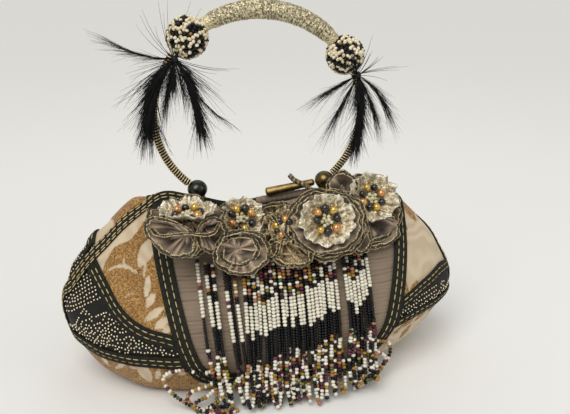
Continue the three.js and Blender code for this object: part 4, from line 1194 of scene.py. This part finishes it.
def buildGrip():
    start, end = ring["grip"]
    path = lambda t: ringAt(start + (end - start) * t)

    def crinkled(u, v):
        p = np.stack([80 * v, 5 * np.cos(fullTurn * u), 5 * np.sin(fullTurn * u)], 1)
        return smooth(np.minimum(v, 1 - v), 0.055, 0.075), creases(p, 2.6, 1), creases(p, 1.7, 2)

    def radius(u, v):
        wrapped, coarse, fine = crinkled(u, v)
        plain = ring["gripEnds"] + (ring["gripMiddle"] - ring["gripEnds"]) * np.sin(math.pi * v) ** 0.6
        folds = 0.16 * np.sin(fullTurn * (9 * u + 6 * v))
        bare = (1 - wrapped) * (folds - 0.5)
        return closed(v, plain + bare + wrapped * (0.42 * coarse + 0.3 * fine - 0.35), 0.012)

    # painted shade in the crevices of the wrap, painted highlight on its crinkle ridges
    def marks(u, v):
        wrapped, coarse, fine = crinkled(u, v)
        deep = (1 - coarse) * (1 - 0.6 * fine)
        return {"paintedShade": 0.8 * smooth(deep, 0.35, 0.9) * wrapped, "paintedHighlight": 0.7 * smooth(coarse, 0.6, 1) * wrapped}

    dress(tube("grip_wrap", 48, 280, path, radius, marks=marks), "grip", "metallic_cloth", "handle_grip")


def buildLeg(side):
    start, end = ring["legs"][side]
    path = lambda t: ringAt(start + (end - start) * t)
    core = tube(f"leg_core_{side}", 14, 90, path, lambda u, v: closed(v, ring["core"], 0.01))
    dress(core, "blackCloth", "wound_wire", f"handle_leg_{side}")
    turns = arcOf(path(np.linspace(0, 1, 400)))[-1] / ring["wirePitch"]
    t = np.linspace(0.004, 0.996, int(turns * 12))
    centre, a = path(t), (fullTurn * turns * t)[:, None]
    tangent = unit(np.gradient(centre, axis=0))
    first, second = squareTo(tangent, (0.0, 1.0, 0.0))
    coil = centre + (ring["core"] + ring["wireOut"]) * (np.cos(a) * first + np.sin(a) * second)
    dress(strands(f"leg_wire_{side}", coil[None], ring["wire"], 4, tangent[None]), "wire", "wound_wire")


def buildSocket(side):
    spot = ringAt(np.array(ring["sockets"][side]))
    ball = ballAt(f"socket_pearl_{side}", 40, 24, ring["socket"], spot, (1.02, 1.02, 0.94))
    foot, stem, top = ring["stemFoot"], ring["stem"], spot[2]
    levels = np.array([(foot, 0), (foot, stem + 0.3), (foot + 1.2, stem + 0.5), (foot + 2.0, stem - 0.6),
                       (top - 4.6, stem - 0.9), (top - 4.2, stem + 0.1), (top - 3.2, stem - 0.2), (top - 3.0, 0)])

    def lathe(u, v):
        height, radius = at(levels, v).T
        return np.stack([spot[0] + radius * np.cos(fullTurn * u), radius * np.sin(fullTurn * u), height], 1)

    turned = gridPiece(f"socket_stem_{side}", 28, len(levels) - 1, lathe, weld=True)
    dress(ball, "darkPearl" if side == "left" else "bronzePearl", "dark_pearl", f"socket_{side}")
    dress(turned, "bronze", "dark_pearl")
    turned.data.shade_flat()
    choose(turned)
    bpy.ops.object.shade_smooth_by_angle(angle=0.6)


# balls of cream and black seed beads
seedBead = unitShape(8, 5, lambda x, y, z: (x, y, 0.82 * z * (1 - 0.25 * max(0, abs(z) - 0.7))))
balls = {"beads": 360, "bead": 1.22, "cream": (0.80, 0.69, 0.46), "ivory": (0.88, 0.80, 0.62),
         "black": (0.010, 0.010, 0.010), "amber": (0.35, 0.20, 0.07),
         "seed": {"left": 21, "right": 22}, "patches": {"left": (4, 0.10), "right": (9, 0.04)},
         "coreLess": 1.9, "sunk": 1.15}


def buildBall(side):
    angle, size = ring["balls"][side]
    centre = ringAt(np.array(angle))
    draw = np.random.default_rng(balls["seed"][side])
    dress(ballAt(f"ball_core_{side}", 28, 18, size - balls["coreLess"], centre), "blackCloth", "seed_beads")
    count = balls["beads"]
    k = np.arange(count) + 0.5
    height, turn = 1 - 2 * k / count, math.pi * (1 + 5 ** 0.5) * k
    girth = np.sqrt(1 - height ** 2)
    out = np.stack([girth * np.cos(turn), girth * np.sin(turn), height], 1)
    out = unit(out + draw.normal(0, 0.035, out.shape))
    seed, least = balls["patches"][side]
    dark = field(out, 0.5, seed) + draw.normal(0, 0.42, count) > least
    pale = np.where(draw.uniform(0, 1, (count, 1)) < 0.5, balls["cream"], balls["ivory"])
    deep = np.where(draw.uniform(0, 1, (count, 1)) < 0.03, balls["amber"], balls["black"])
    sizes = (balls["bead"] * np.where(dark, 0.92, 1.06) * draw.uniform(0.93, 1.07, count))[:, None]
    places = centre + out * (size - balls["sunk"] + draw.uniform(-0.25, 0.15, (count, 1)))
    along = np.cross(out, draw.normal(size=out.shape))
    tints = np.where(dark[:, None], deep, pale)
    beads = scatter(f"ball_beads_{side}", seedBead, places, along, out, sizes, tints)
    dress(beads, "bead", "seed_beads", f"beaded_ball_{side}")


buildGrip()
for side in ("left", "right"):
    buildLeg(side)
    buildSocket(side)
    buildBall(side)
print("stage: handle")

# feathers: each lock is a bent quill with barbs fanning off it
plumes = {
    "left": {"head": (-50.7, -7.9, 197.6), "locks": [  # bend, tip, spread, barbs, reach
        ((-67, -11, 184), (-68, -12, 153), 8.6, 1150, 20), ((-41, -13, 186), (-37, -13, 150), 6.0, 760, 17),
        ((-74, -8, 198.5), (-90, -8, 211.5), 3.2, 110, 18),
        ((-55, -12, 186), (-58, -13, 167), 5.4, 195, 17), ((-34, -13, 165), (-21, -12, 162), 1.4, 70, 14),
        ((-48, -12, 186), (-46, -13, 172), 4.0, 70, 13), ((-52, -10, 193), (-53, -11, 184), 6.0, 330, 12)],
        "wisps": [((-55, -8, 208), (-54, -8, 226)), ((-62, -9, 207), (-66, -9, 222)),
                  ((-36, -12, 188), (-24, -12, 178)), ((-34, -12, 190), (-20, -12, 190)),
                  ((-38, -12, 184), (-26, -12, 168)),
                  ((-66, -10, 190), (-78, -10, 176)), ((-68, -10, 186), (-80, -10, 168)),
                  ((-47, -9, 210), (-40, -9, 224))]},
    "right": {"head": (56.8, -9.2, 185.8), "locks": [
        ((60, -14, 166), (54.5, -14, 140), 6.0, 1100, 15), ((48, -14, 183), (30, -14, 173), 4.6, 120, 19),
        ((48, -14, 172), (38, -14, 154), 5.4, 150, 20),
        ((70, -13, 178), (77, -13, 158), 4.4, 190, 18), ((65, -13, 172), (69, -13, 154), 4.0, 195, 17),
        ((54, -14, 190), (52, -14, 199), 2.8, 150, 8), ((57, -12, 181), (57, -13, 172), 5.4, 300, 11)],
        "wisps": [((64, -11, 190), (71, -10, 197)), ((68, -11, 187), (78, -11, 184)),
                  ((46, -13, 192), (40, -13, 198)), ((62, -11, 193), (66, -10, 201))]},
    "barb": 0.17, "quill": 0.176, "head": 2.0, "seed": {"left": 31, "right": 32},
    "ref": np.array([0.31, 0.87, 0.38]), "lengths": (0.55, 1.25), "close": 0.84, "lean": (0.02, 0.42),
    "loose": (0.5, 1.3), "sag": 0.12, "sparse": 200,
}


def bend(a, b, c, t):
    t = np.asarray(t)[..., None]
    return a * (1 - t) ** 2 + 2 * b * t * (1 - t) + c * t * t


def buildPlume(side):
    plan = plumes[side]
    head = np.array(plan["head"], float)
    draw = np.random.default_rng(plumes["seed"][side])
    t = np.linspace(0, 1, 5)
    barbs, quills, thin = [], [], []
    for middle, tip, spread, count, reach in plan["locks"]:
        middle, tip = np.array(middle, float), np.array(tip, float)
        start = draw.uniform(0.0, 0.84, count) ** 1.15
        root = bend(head, middle, tip, start)
        ahead = unit(bend(head, middle, tip, np.minimum(1, start + 0.02)) - root)
        fan = draw.normal(0, 1, (count, 3)) * (1, 0.6, 1)
        fan = unit(fan - ahead * (fan * ahead).sum(1, keepdims=True))
        root = root + fan * (0.3 * spread * draw.uniform(0, 1, count) * start)[:, None]
        length = reach * draw.uniform(*plumes["lengths"], count)[:, None]
        close = draw.uniform(0, 1, count) < plumes["close"]
        lean = np.where(close, draw.uniform(*plumes["lean"], count), draw.uniform(*plumes["loose"], count))
        aside = fan * length * (spread / reach * lean[:, None])
        half = root + ahead * length * 0.55 + 0.7 * aside
        sag = np.array([0, 0, -1.0]) * length * plumes["sag"] * draw.uniform(0, 1.6, count)[:, None]
        end = root + ahead * length + aside * draw.uniform(0.7, 1.9, count)[:, None] + sag
        barbs.append(bend(root[:, None], half[:, None], end[:, None], t))
        thin.append(np.full((count, 1), 0.5 if count < plumes["sparse"] else 1.0))
        for shift in draw.normal(0, 0.35, (3, 3)):
            quills.append(bend(head + shift, middle + shift, tip, t))
    for middle, tip in plan["wisps"]:
        for shift in draw.normal(0, 1.3, (4, 3)):
            quills.append(bend(head + 0.3 * shift, np.array(middle) + shift, np.array(tip) + 2.2 * shift, t))
    barbs = np.concatenate(barbs)
    taper = 1 - 0.75 * t ** 1.5
    radii = plumes["barb"] * taper * np.concatenate(thin) * draw.uniform(0.7, 1.2, (len(barbs), 1))
    fine = strands(f"plume_barbs_{side}", barbs, radii, 3, plumes["ref"])
    stiff = strands(f"plume_quills_{side}", quills, plumes["quill"] * taper, 4, plumes["ref"])
    knot = ballAt(f"plume_{side}_feathers", 20, 12, plumes["head"], head, (1, 0.9, 1.15))
    dress(joinAll([knot, fine, stiff]), "feather", "feather", f"plume_{side}")


for side in ("left", "right"):
    buildPlume(side)
print("stage: feathers")


# rosettes: piped frills of gathered cloth round a crinkled metallic cup, with pearls and seed beads in its middle
def facing(rise, turn):
    a, b = math.radians(rise), math.radians(turn)
    axis = np.array([math.cos(a) * math.sin(b), -math.cos(a) * math.cos(b), math.sin(a)])
    up = unit(np.array([0, 0, 1.0]) - axis[2] * axis)
    return np.stack([np.cross(up, axis), up, axis])


# a petal's centre, rise, turn, spin, half width, half height, depth, waves, where it is gathered, and folds
# a cup's centre, rise, turn, half width, half height, depth and waves; cut holds the flat sizes of frill and cup
# a pipe's radius, inset and colour
rosettes = {
    1: {"petals": [((-50.0, -34.0, 109.2), 70, -6, 0, 21.6, 16.6, 8.5, 4, (0, 0), 15),
                   ((-59.4, -45.0, 105.6), 2, -24, -24, 15.6, 9.6, 4.2, 2, (0.5, 0.7), 7),
                   ((-48.2, -40.5, 101.8), -4, -4, 0, 9.6, 11.0, 2.6, 3, (0.1, 0.9), 8),
                   ((-36.8, -43.5, 104.2), 2, 22, 18, 8.8, 9.8, 3.4, 2, (-0.5, 0.7), 6)],
        "cup": ((-49.0, -38.0, 113.6), 80, -6, 16.0, 11.8, 7.0, 6), "look": "frill",
        "cut": ((0.030, 0.132), (0.0372, 0.032))},
    2: {"petals": [((-19.8, -25.2, 101.0), 44, 2, 0, 16.4, 15.4, 6.5, 4, (0, 0), 13),
                   ((-19.7, -42.0, 91.6), 12, 2, 0, 16.0, 12.6, 6.0, 3, (-0.1, 0.1), 11),
                   ((-20.6, -41.0, 92.2), 18, -4, 12, 10.8, 8.6, 3.6, 2, (-0.3, -0.2), 6)],
        "cup": ((-17.2, -26.6, 105.8), 34, -6, 13.8, 12.4, 4.6, 7), "look": "frill",
        "cut": ((0.030, 0.100), (0.0328, 0.0303))},
    3: {"petals": [((6.6, -29.0, 98.8), 28, -8, 0, 16.6, 15.6, 6, 4, (0, 0), 13),
                   ((9.2, -40.0, 88.2), 14, -8, -18, 13.4, 7.6, 3.0, 3, (-0.4, 0.7), 8),
                   ((10.8, -39.0, 82.8), 6, -6, -8, 9.6, 4.8, 2.0, 2, (0.1, 0.8), 6),
                   ((-1.6, -35.5, 97.0), 16, -30, 8, 6.0, 13.4, 2.4, 2, (0.7, 0.1), 6)],
        "cup": ((7.2, -33.6, 101.6), 26, -18, 9.0, 10.4, 3.8, 6), "look": "bronzeLame",
        "cut": ((0.028, 0.100), (0.023, 0.0262))},
    4: {"petals": [((32.0, -36.4, 102.6), 22, -6, 0, 24.0, 20.4, 6.0, 4, (0, 0), 17),
                   ((31.2, -38.8, 104.6), 24, -8, 0, 21.0, 18.2, 6.0, 5, (0, 0), 15),
                   ((52.0, -36.5, 94.0), 12, 22, 14, 7.8, 10.8, 3.2, 2, (-0.5, 0.6), 6)],
        "cup": ((31.4, -38.8, 105.9), 24, -6, 16.4, 15.2, 5.8, 8), "look": "frill",
        "cut": ((0.034, 0.140), (0.0392, 0.0359))},
    5: {"petals": [((62.6, -18.6, 103.6), 30, 8, 0, 21.4, 20.8, 7.0, 4, (0, 0), 15),
                   ((67.2, -27.4, 93.2), 14, 14, 6, 15.4, 10.4, 3.8, 2, (0, 0.9), 7),
                   ((46.8, -17.6, 118.4), 36, -26, 20, 8.8, 9.6, 3.6, 2, (0.4, -0.6), 6),
                   ((50.6, -26.4, 105.6), 14, -18, 24, 6.6, 12.0, 2.6, 2, (0.6, 0.4), 5)],
        "cup": ((64.0, -21.4, 111.6), 32, 8, 16.4, 15.0, 6.2, 8), "look": "frill",
        "cut": ((0.030, 0.138), (0.0395, 0.0355))},
    "wall": 0.9, "lameWall": 0.5, "pleat": 1.5, "crumple": 1.9,
    "pipes": [(0.78, 0.0, (0.010, 0.009, 0.008)), (0.44, 1.12, (0.70, 0.55, 0.29)),
              (0.38, -0.85, (0.52, 0.39, 0.18))],
    "pearlRing": 6.5, "pearl": 2.3, "seed": 1.3, "seedCount": 9, "seedRing": 3.4, "fullCup": 13, "ragged": 0.035,
    "pearlLift": 2.0, "seedLift": 3.6, "seedFall": 0.4,
    "pearls": [(0.70, 0.43, 0.065), (0.010, 0.010, 0.011), (0.66, 0.30, 0.085), (0.012, 0.011, 0.010),
               (0.62, 0.42, 0.08), (0.009, 0.009, 0.010), (0.70, 0.36, 0.10), (0.013, 0.012, 0.011)],
    "seeds": [(0.66, 0.60, 0.38), (0.52, 0.48, 0.28), (0.74, 0.68, 0.50)],
}
pearlShape = unitShape(18, 12)


def within(centre, frame, p, q, h):
    across, up, axis = frame
    return np.array(centre) + p[:, None] * across + q[:, None] * up + h[:, None] * axis


def petalPoint(petal, r, a, number):
    centre, rise, turn, spin, wide, high, depth, waves, gather = petal[:9]
    across, up, axis = facing(rise, turn)
    c, s = math.cos(math.radians(spin)), math.sin(math.radians(spin))
    ripples = 0.6 * np.sin(5 * a + number) + 0.5 * np.sin(9 * a + 2.3 * number) + 0.4 * np.sin(16 * a + number)
    wobble = 1 + rosettes["ragged"] * ripples
    p = gather[0] + (np.cos(a) * wobble - gather[0]) * r
    q = gather[1] + (np.sin(a) * wobble - gather[1]) * r
    out = p * p + q * q
    h = depth * out + 0.10 * wide * out * r * np.sin(waves * a + 1.7 * number) - 0.6 * depth
    return within(centre, (c * across + s * up, c * up - s * across, axis), wide * p, high * q, h)


def petalPiece(name, petal, number):
    axis, folds = facing(petal[1], petal[2])[2], petal[9]

    def fold(u, v):
        a = fullTurn * u
        drift = 1.6 * np.sin(2 * a + number) + 0.9 * np.sin(3 * a + 2 * number) + 1.5 * v * np.sin(a + number)
        broad = 1 - np.abs(np.sin(0.5 * folds * a + drift)) ** 0.8
        fine = 0.5 + 0.5 * np.sin(1.7 * folds * a + 2 * drift + 1) * np.sin(6 * v + number)
        return 0.75 * broad + 0.25 * fine

    def crumple(u, v):
        return field(petalPoint(petal, v, fullTurn * u, number), 12.0, 60 + number)

    def place(u, v):
        held = np.sin(math.pi * np.clip(v, 0, 1)) ** 0.6
        rise = (fold(u, v) - 0.5) * rosettes["pleat"] * 2 + crumple(u, v) * rosettes["crumple"]
        return petalPoint(petal, v, fullTurn * u, number) + (rise * held)[:, None] * axis

    # painted shade in the folds and dents of the frill, painted highlight on their crests
    def marks(u, v):
        deep = 0.9 * (1 - smooth(fold(u, v), 0.08, 0.5)) + 0.75 * smooth(-crumple(u, v), 0.05, 1.0)
        held = np.sin(math.pi * np.clip(v, 0.02, 0.98)) ** 0.5
        high = smooth(fold(u, v), 0.5, 0.85) * smooth(crumple(u, v), -0.5, 0.6)
        return {"paintedShade": np.minimum(0.95, deep) * held, "paintedHighlight": 0.75 * high * held}

    sheet = gridPiece(name, 100, 11, place, (120, 20), True, marks, True)
    thicken(sheet, rosettes["wall"], 0)
    return sheet


def piping(paths, name, points=220):
    laid, radii, tints = [], [], []
    for path in paths:
        arc = arcOf(path)
        s = np.linspace(0, arc[-1], points)
        centre = sample(s, arc, path)
        for size, inset, tone in rosettes["pipes"]:
            stray = 0.3 * np.sin(s / 1.9 + 2 * np.sin(s / 7)) * np.sign(inset)
            laid.append(centre + unit(path.mean(0) - centre) * (inset + stray)[:, None])
            radii.append(size * (1 + 0.14 * np.sin(s * 2.9) + 0.1 * np.sin(s * 0.9)))
            tints.append(tone)
    return strands(name, laid, np.array(radii), 4, np.array([0.2, 0.9, 0.3]), tints)


def cupHeight(cup, r):
    return cup[5] * np.asarray(r) ** 1.6 - 0.2 * cup[5]


def ripple(r, a, number):
    broad = np.sin(15 * a + 5 * np.sin(2 * a + number) + 5 * r)
    fine = np.sin(27 * a + 5 * np.sin(3 * a + 2 * number) - 5 * r)
    slow = np.sin(8 * a + 3 * np.sin(a + number) + 7 * r)
    return 0.4 * broad + 0.35 * fine + 0.35 * slow


def crinkles(p, q, number):
    return creases(np.stack([p, q, 0 * p], 1) + 40 * number, 4.2, number)


def cupPoint(cup, r, a, number):
    centre, rise, turn, wide, high, _, waves = cup
    notches = np.sin(9 * a + number) + 0.7 * np.sin(14 * a + 3 * number) + 0.5 * np.sin(23 * a)
    ragged = 1 + 0.04 * notches * r ** 3
    p, q = wide * r * np.cos(a) * ragged, high * r * np.sin(a) * ragged
    drift = 1.3 * np.sin(2 * a + number) + 0.8 * np.sin(3 * a + 2.1 * number)
    flutes = 0.06 * np.sin(waves * a + drift) + 0.045 * np.sin((2 * waves + 1) * a + 1.7 * drift)
    h = cupHeight(cup, r) + r ** 2.2 * wide * flutes
    h = h + 1.2 * r * crinkles(p, q, number) + 0.65 * r * ripple(r, a, number)
    return within(centre, facing(rise, turn), p, q, h)


def buildRosette(number):
    plan, name = rosettes[number], f"rosette_{number}"
    cup, petals = plan["cup"], plan["petals"]
    draw = np.random.default_rng(40 + number)
    frill = joinAll([petalPiece(f"{name}_petal_{k}", petal, number + k) for k, petal in enumerate(petals)])
    frill.name = frill.data.name = f"{name}_frills"
    dress(frill, plan["look"], "frill_cloth", f"{name}_frill")
    a = np.linspace(0, fullTurn, 300)
    edges = [petalPoint(petal, np.ones_like(a), a, number + k) for k, petal in enumerate(petals)]
    cords = piping(edges, f"{name}_piping")
    dress(cords, "cord", "frill_cloth")

    # painted shade in the crinkles and towards the middle of the cup, painted highlight on its rim and ridges
    def marks(u, v):
        a = fullTurn * u
        wave, folds = ripple(v, a, number), crinkles(cup[3] * v * np.cos(a), cup[4] * v * np.sin(a), number)
        deep = 0.5 * smooth(-wave, 0.1, 0.8) * (1 - 0.4 * v) + 0.5 * smooth(1 - folds, 0.55, 1.0) * v
        deep = deep + 0.55 * (1 - smooth(v, 0.1, 0.6))
        paintedHighlight = np.maximum(smooth(v, 0.75, 0.97), 0.9 * smooth(folds, 0.5, 0.9))
        return {"paintedShade": np.clip(deep, 0, 0.9), "paintedHighlight": paintedHighlight * (0.6 + 0.4 * smooth(wave, -0.3, 0.6))}

    place = lambda u, v: cupPoint(cup, v, fullTurn * u, number)
    lame = gridPiece(f"{name}_lame", 144, 16, place, (110, 18), True, marks, True)
    thicken(lame, rosettes["lameWall"], 0)
    dress(lame, "bronzeLame" if number == 3 else "lame", "metallic_cloth", f"{name}_cup")

    aims, small = facing(cup[1], cup[2]), min(1, cup[3] / rosettes["fullCup"])
    spots = lambda away, turn, lift: within(cup[0], aims, away * np.cos(turn), away * np.sin(turn), lift)
    count = len(rosettes["pearls"])
    turn = fullTurn * (np.arange(count) / count) + number + draw.normal(0, 0.09, count)
    away = rosettes["pearlRing"] * draw.uniform(0.9, 1.1, count) * small
    lift = cupHeight(cup, away / cup[3]) + rosettes["pearlLift"] + draw.uniform(0, 0.8, count)
    sizes = rosettes["pearl"] * draw.uniform(0.92, 1.12, (count, 1)) * np.array([1, 1, 1.1])
    axes = draw.normal(size=(count, 3))
    places = spots(away, turn, lift)
    pearls = scatter(f"{name}_pearls", pearlShape, places, axes, aims[2], sizes, rosettes["pearls"])
    dress(pearls, "pearl", "pearls", f"{name}_cluster")

    count = rosettes["seedCount"]
    turn = np.arange(count) * 2.4 + number
    away = rosettes["seedRing"] * np.sqrt(np.linspace(0.02, 1, count)) * small
    lift = cupHeight(cup, away / cup[3]) + rosettes["seedLift"] - rosettes["seedFall"] * away
    lift = lift + draw.uniform(0, 0.5, count)
    tints = np.array(rosettes["seeds"])[draw.integers(0, 3, count)]
    axes = draw.normal(size=(count, 3))
    sizes = np.full((count, 3), rosettes["seed"])
    seeds = scatter(f"{name}_seed_beads", seedBead, spots(away, turn, lift), axes, aims[2], sizes, tints)
    dress(seeds, "bead", "pearls")


for number in range(1, 6):
    buildRosette(number)
print("stage: rosettes")

# the bead fringe: strings that hang down the face, mixed, then white, then black, and end in loops of mixed beads
fringe = {
    "front": [-44.0, -39.6, -36.0, -29.2, -24.2] + [-18.4 + 2.62 * k for k in range(22)]
             + [42.8 + 2.5 * k for k in range(7)],
    "behind": [-37.6, -26.8] + [-17.0 + 2.62 * k for k in range(21)] + [44.0 + 2.5 * k for k in range(6)],
    "chart": {"x": [-46, -32, -22, -13, -1, 8, 26, 39, 58], "top": [82, 78, 75, 74, 78, 77, 79, 76, 80],
              "white": [70, 58, 60, 62.5, 63, 64, 67, 69, 72],
              "black": [55, 43.5, 43, 46.6, 48, 49, 49, 55, 58],
              "mixed": [39, 27, 24, 28.5, 31, 31, 33.6, 39.5, 41.7]},
    "jitter": 2.6, "lowest": 1.6, "endHeight": 4, "belly": 34.0, "floor": 1.75, "bead": 1.34, "pitch": 2.02,
    "fine": 1.12, "finePitch": 1.66, "lift": 3.0, "stagger": 1.1, "behindLift": 1.5, "leftOf": -24, "leftLean": 7.0,
    "repeat": 0.15, "twin": 0.72, "beadHalf": 0.53,
    "ends": ([-46, 12, 27, 40, 58], [1.5, 1.5, 3.0, 7.0, 12.0]),
    "white": (0.80, 0.77, 0.65), "dark": (0.008, 0.008, 0.009),
    "palette": [((0.80, 0.76, 0.66), 0.30), ((0.009, 0.008, 0.009), 0.35), ((0.38, 0.20, 0.035), 0.11),
                ((0.115, 0.028, 0.050), 0.11), ((0.40, 0.17, 0.10), 0.06), ((0.26, 0.21, 0.03), 0.05),
                ((0.08, 0.13, 0.03), 0.02)],
    "trailing": [  # loops that swing aside and lie on the floor
        [(-34, -55, 25), (-45, -54, 21), (-58, -51, 23), (-68, -49.5, 19), (-66.5, -53, 12.5), (-57, -58, 5),
         (-47, -62, 1.6), (-38, -63, 1.5)],
        [(-31, -56, 22), (-42, -56, 14), (-52, -56, 11), (-55.5, -57, 6), (-49, -62, 1.6), (-40, -66, 1.5),
         (-31, -66, 1.5)],
        [(-33, -57, 18), (-43, -59, 9), (-51, -59, 4.5), (-50, -63, 1.6), (-41, -63.5, 3.6), (-33, -62.5, 2.0)],
        [(-26, -58, 16), (-34, -61, 8), (-43, -63, 3.6), (-44, -67, 1.6), (-35, -68.5, 1.5), (-27, -66, 1.5)],
        [(57, -53, 30), (65, -49.5, 28), (71.5, -46.5, 24), (72.5, -47, 17), (67, -51, 11), (59, -54.5, 7),
         (51, -57, 4)],
        [(55, -54, 26), (63.5, -51, 21), (68.5, -50, 15.5), (64, -53, 9), (56, -56.5, 5), (48, -58.5, 3)],
        [(52, -55, 22), (60, -53.5, 15), (60.5, -55, 9), (53, -58, 4.5), (45, -60, 2.5)]],
}
stringBead = unitShape(8, 4, lambda x, y, z: (1.06 * x, 1.06 * y, 0.98 * math.copysign(abs(z) ** 0.8, z)))


def stringPath(x, top, lift, lean, flare):
    z = np.linspace(top, fringe["belly"], 60)
    share = (top - z) / (top - fringe["floor"])
    upper = onFace(x + lean * share ** 1.6, z, lift)
    z = np.linspace(fringe["belly"], fringe["floor"], 40)[1:]
    share = (top - z) / (top - fringe["floor"])
    drop = (fringe["belly"] - z) / (fringe["belly"] - fringe["floor"])
    lower = np.stack([x + lean * share ** 1.6, upper[-1, 1] - flare * drop ** 1.5, z], 1)
    return np.concatenate([upper, lower])


def walkAlong(path):
    arc = arcOf(path)
    return arc, lambda s: sample(s, arc, path)


def buildFringe():
    draw = np.random.default_rng(77)
    palette, odds = (np.array(values) for values in zip(*fringe["palette"]))
    chart, pitch = fringe["chart"], fringe["pitch"]
    made = {group: ([], [], [], []) for group in ("upper", "loops", "behind")}
    last = {"tone": 0}

    def mixedTone():
        if draw.uniform() > fringe["repeat"]:
            last["tone"] = draw.choice(len(odds), p=odds)
        return palette[last["tone"]]

    def bead(group, walk, s, size, length, tone):
        places, axes, sizes, tints = made[group]
        places.append(np.maximum(walk(s), (-np.inf, -np.inf, fringe["lowest"])))
        axes.append(walk(s + 0.3) - walk(s - 0.3) + draw.normal(0, 0.04, 3))
        sizes.append(np.array([size, size, length * fringe["beadHalf"]]) * draw.uniform(0.93, 1.07))
        tints.append(np.array(tone) * draw.uniform(0.85, 1.12))

    rows = [(x, fringe["lift"] + fringe["stagger"] * (k % 2), "upper") for k, x in enumerate(fringe["front"])]
    rows += [(x, fringe["behindLift"], "behind") for x in fringe["behind"]]
    for number, (x, lift, group) in enumerate(rows):
        top, white, black, mixed = (float(np.interp(x, chart["x"], chart[key])) for key in list(chart)[1:])
        jolt = draw.normal(0, fringe["jitter"])
        white, black, mixed = white + 0.6 * jolt, black + jolt, mixed + jolt
        lean = draw.normal(0, 2.0) + (fringe["leftLean"] if x < fringe["leftOf"] else 0.0)
        end = float(np.interp(x, *fringe["ends"]))
        if group == "upper":
            flare = 6.0 + 2.0 * (number % 3) + draw.uniform(-1, 2)
        else:
            flare = 2.0 + draw.uniform(0, 2)
        arc, walk = walkAlong(stringPath(x + draw.normal(0, 0.25), top, lift, lean, flare))
        s = 0.0
        while (height := walk(s)[2]) >= max(mixed, fringe["endHeight"]):
            if group == "behind" or height <= min(white, black):
                size, length, tone = fringe["fine"], fringe["finePitch"], fringe["dark"]
            elif height > white:
                size, length, tone = fringe["bead"] * 0.97, pitch, mixedTone()
            else:
                size, length, tone = fringe["bead"], pitch, fringe["white"]
            bead(group, walk, s, size, length, tone)
            s += length
        if group == "behind":
            continue
        rest = walk(np.linspace(s, arc[-1], 60))
        q = np.linspace(0, 1, 60)
        for way in (-1, 1) if draw.uniform() < fringe["twin"] else (0.4,):
            aside = way * (0.4 + draw.uniform(0.7, 1.9) * np.sin(math.pi * q ** 1.4) ** 0.8)
            string = rest + np.stack([aside, way * 0.9 + draw.uniform(-2.2, 0.6) * q, 0 * q], 1)
            string[:, 2] = np.maximum(string[:, 2], end) + draw.uniform(0, 3.0) * q ** 3
            loopArc, loopWalk = walkAlong(string)
            for t in np.arange(0.4, loopArc[-1], pitch):
                size = fringe["bead"] * draw.choice([0.88, 1.0, 1.05])
                bead("loops", loopWalk, t, size, pitch, mixedTone())
    for knots in fringe["trailing"]:
        arc, walk = walkAlong(spline(knots))
        for t in np.arange(0.0, arc[-1], pitch):
            bead("loops", walk, t, fringe["bead"], pitch, mixedTone())
    for group, (places, axes, sizes, tints) in made.items():
        obj = scatter(f"fringe_beads_{group}", stringBead, places, np.array(axes), (0.1, -1.0, 0.2), sizes, tints)
        dress(obj, "bead", "glass_beads", *(("bead_fringe",) if group == "upper" else ()))
        print("fringe", group, len(places), "beads")


buildFringe()
print("stage: bead fringe")

# the toggle: a tapered bar on the back lip, held by a twisted cord
toggle = {"from": (3, 7.6, 110.2), "to": (34.6, 4.4, 116.4), "thick": 2.9, "thin": 2.1, "cord": 1.1, "along": 0.6,
          "pitch": 3.2, "ply": 0.84, "plyOut": 0.82,
          "plies": [(0.050, 0.042, 0.026), (0.38, 0.28, 0.12), (0.16, 0.115, 0.05)]}


def buildToggle():
    start, end = np.array(toggle["from"], float), np.array(toggle["to"], float)
    path = lambda t: start + (end - start) * np.asarray(t)[:, None]
    width = lambda v: toggle["thick"] + (toggle["thin"] - toggle["thick"]) * v
    ribbed = lambda u, v: closed(v, width(v) * (1 + 0.03 * np.cos(8 * math.pi * u)), 0.05)
    dress(tube("toggle_bar_cast", 32, 90, path, ribbed), "bronze", "brass", "toggle_bar")
    x, y, z = start + (end - start) * toggle["along"]
    over = z + width(toggle["along"]) + toggle["cord"] + 1.2
    centre = spline([(x - 2.8, y + 3.4, over + 1.6), (x - 1.8, y + 2.6, over + 0.5), (x, y, over - 0.9),
                     (x + 6, y - 5.5, over - 3.2), (x + 10, y - 10.5, z - 1.2)])
    arc = arcOf(centre)
    first, second = squareTo(unit(np.gradient(centre, axis=0)), (0, 0, 1.0))
    plies = []
    for k in range(3):
        a = (fullTurn * (arc / toggle["pitch"] + k / 3))[:, None]
        plies.append(centre + toggle["plyOut"] * (np.cos(a) * first + np.sin(a) * second))
    cord = strands("toggle_cord_plies", plies, toggle["ply"], 7, np.array([0.1, 0.2, 1.0]), toggle["plies"])
    dress(cord, "cord", "twisted_cord", "toggle_cord")


buildToggle()
print("stage: toggle")
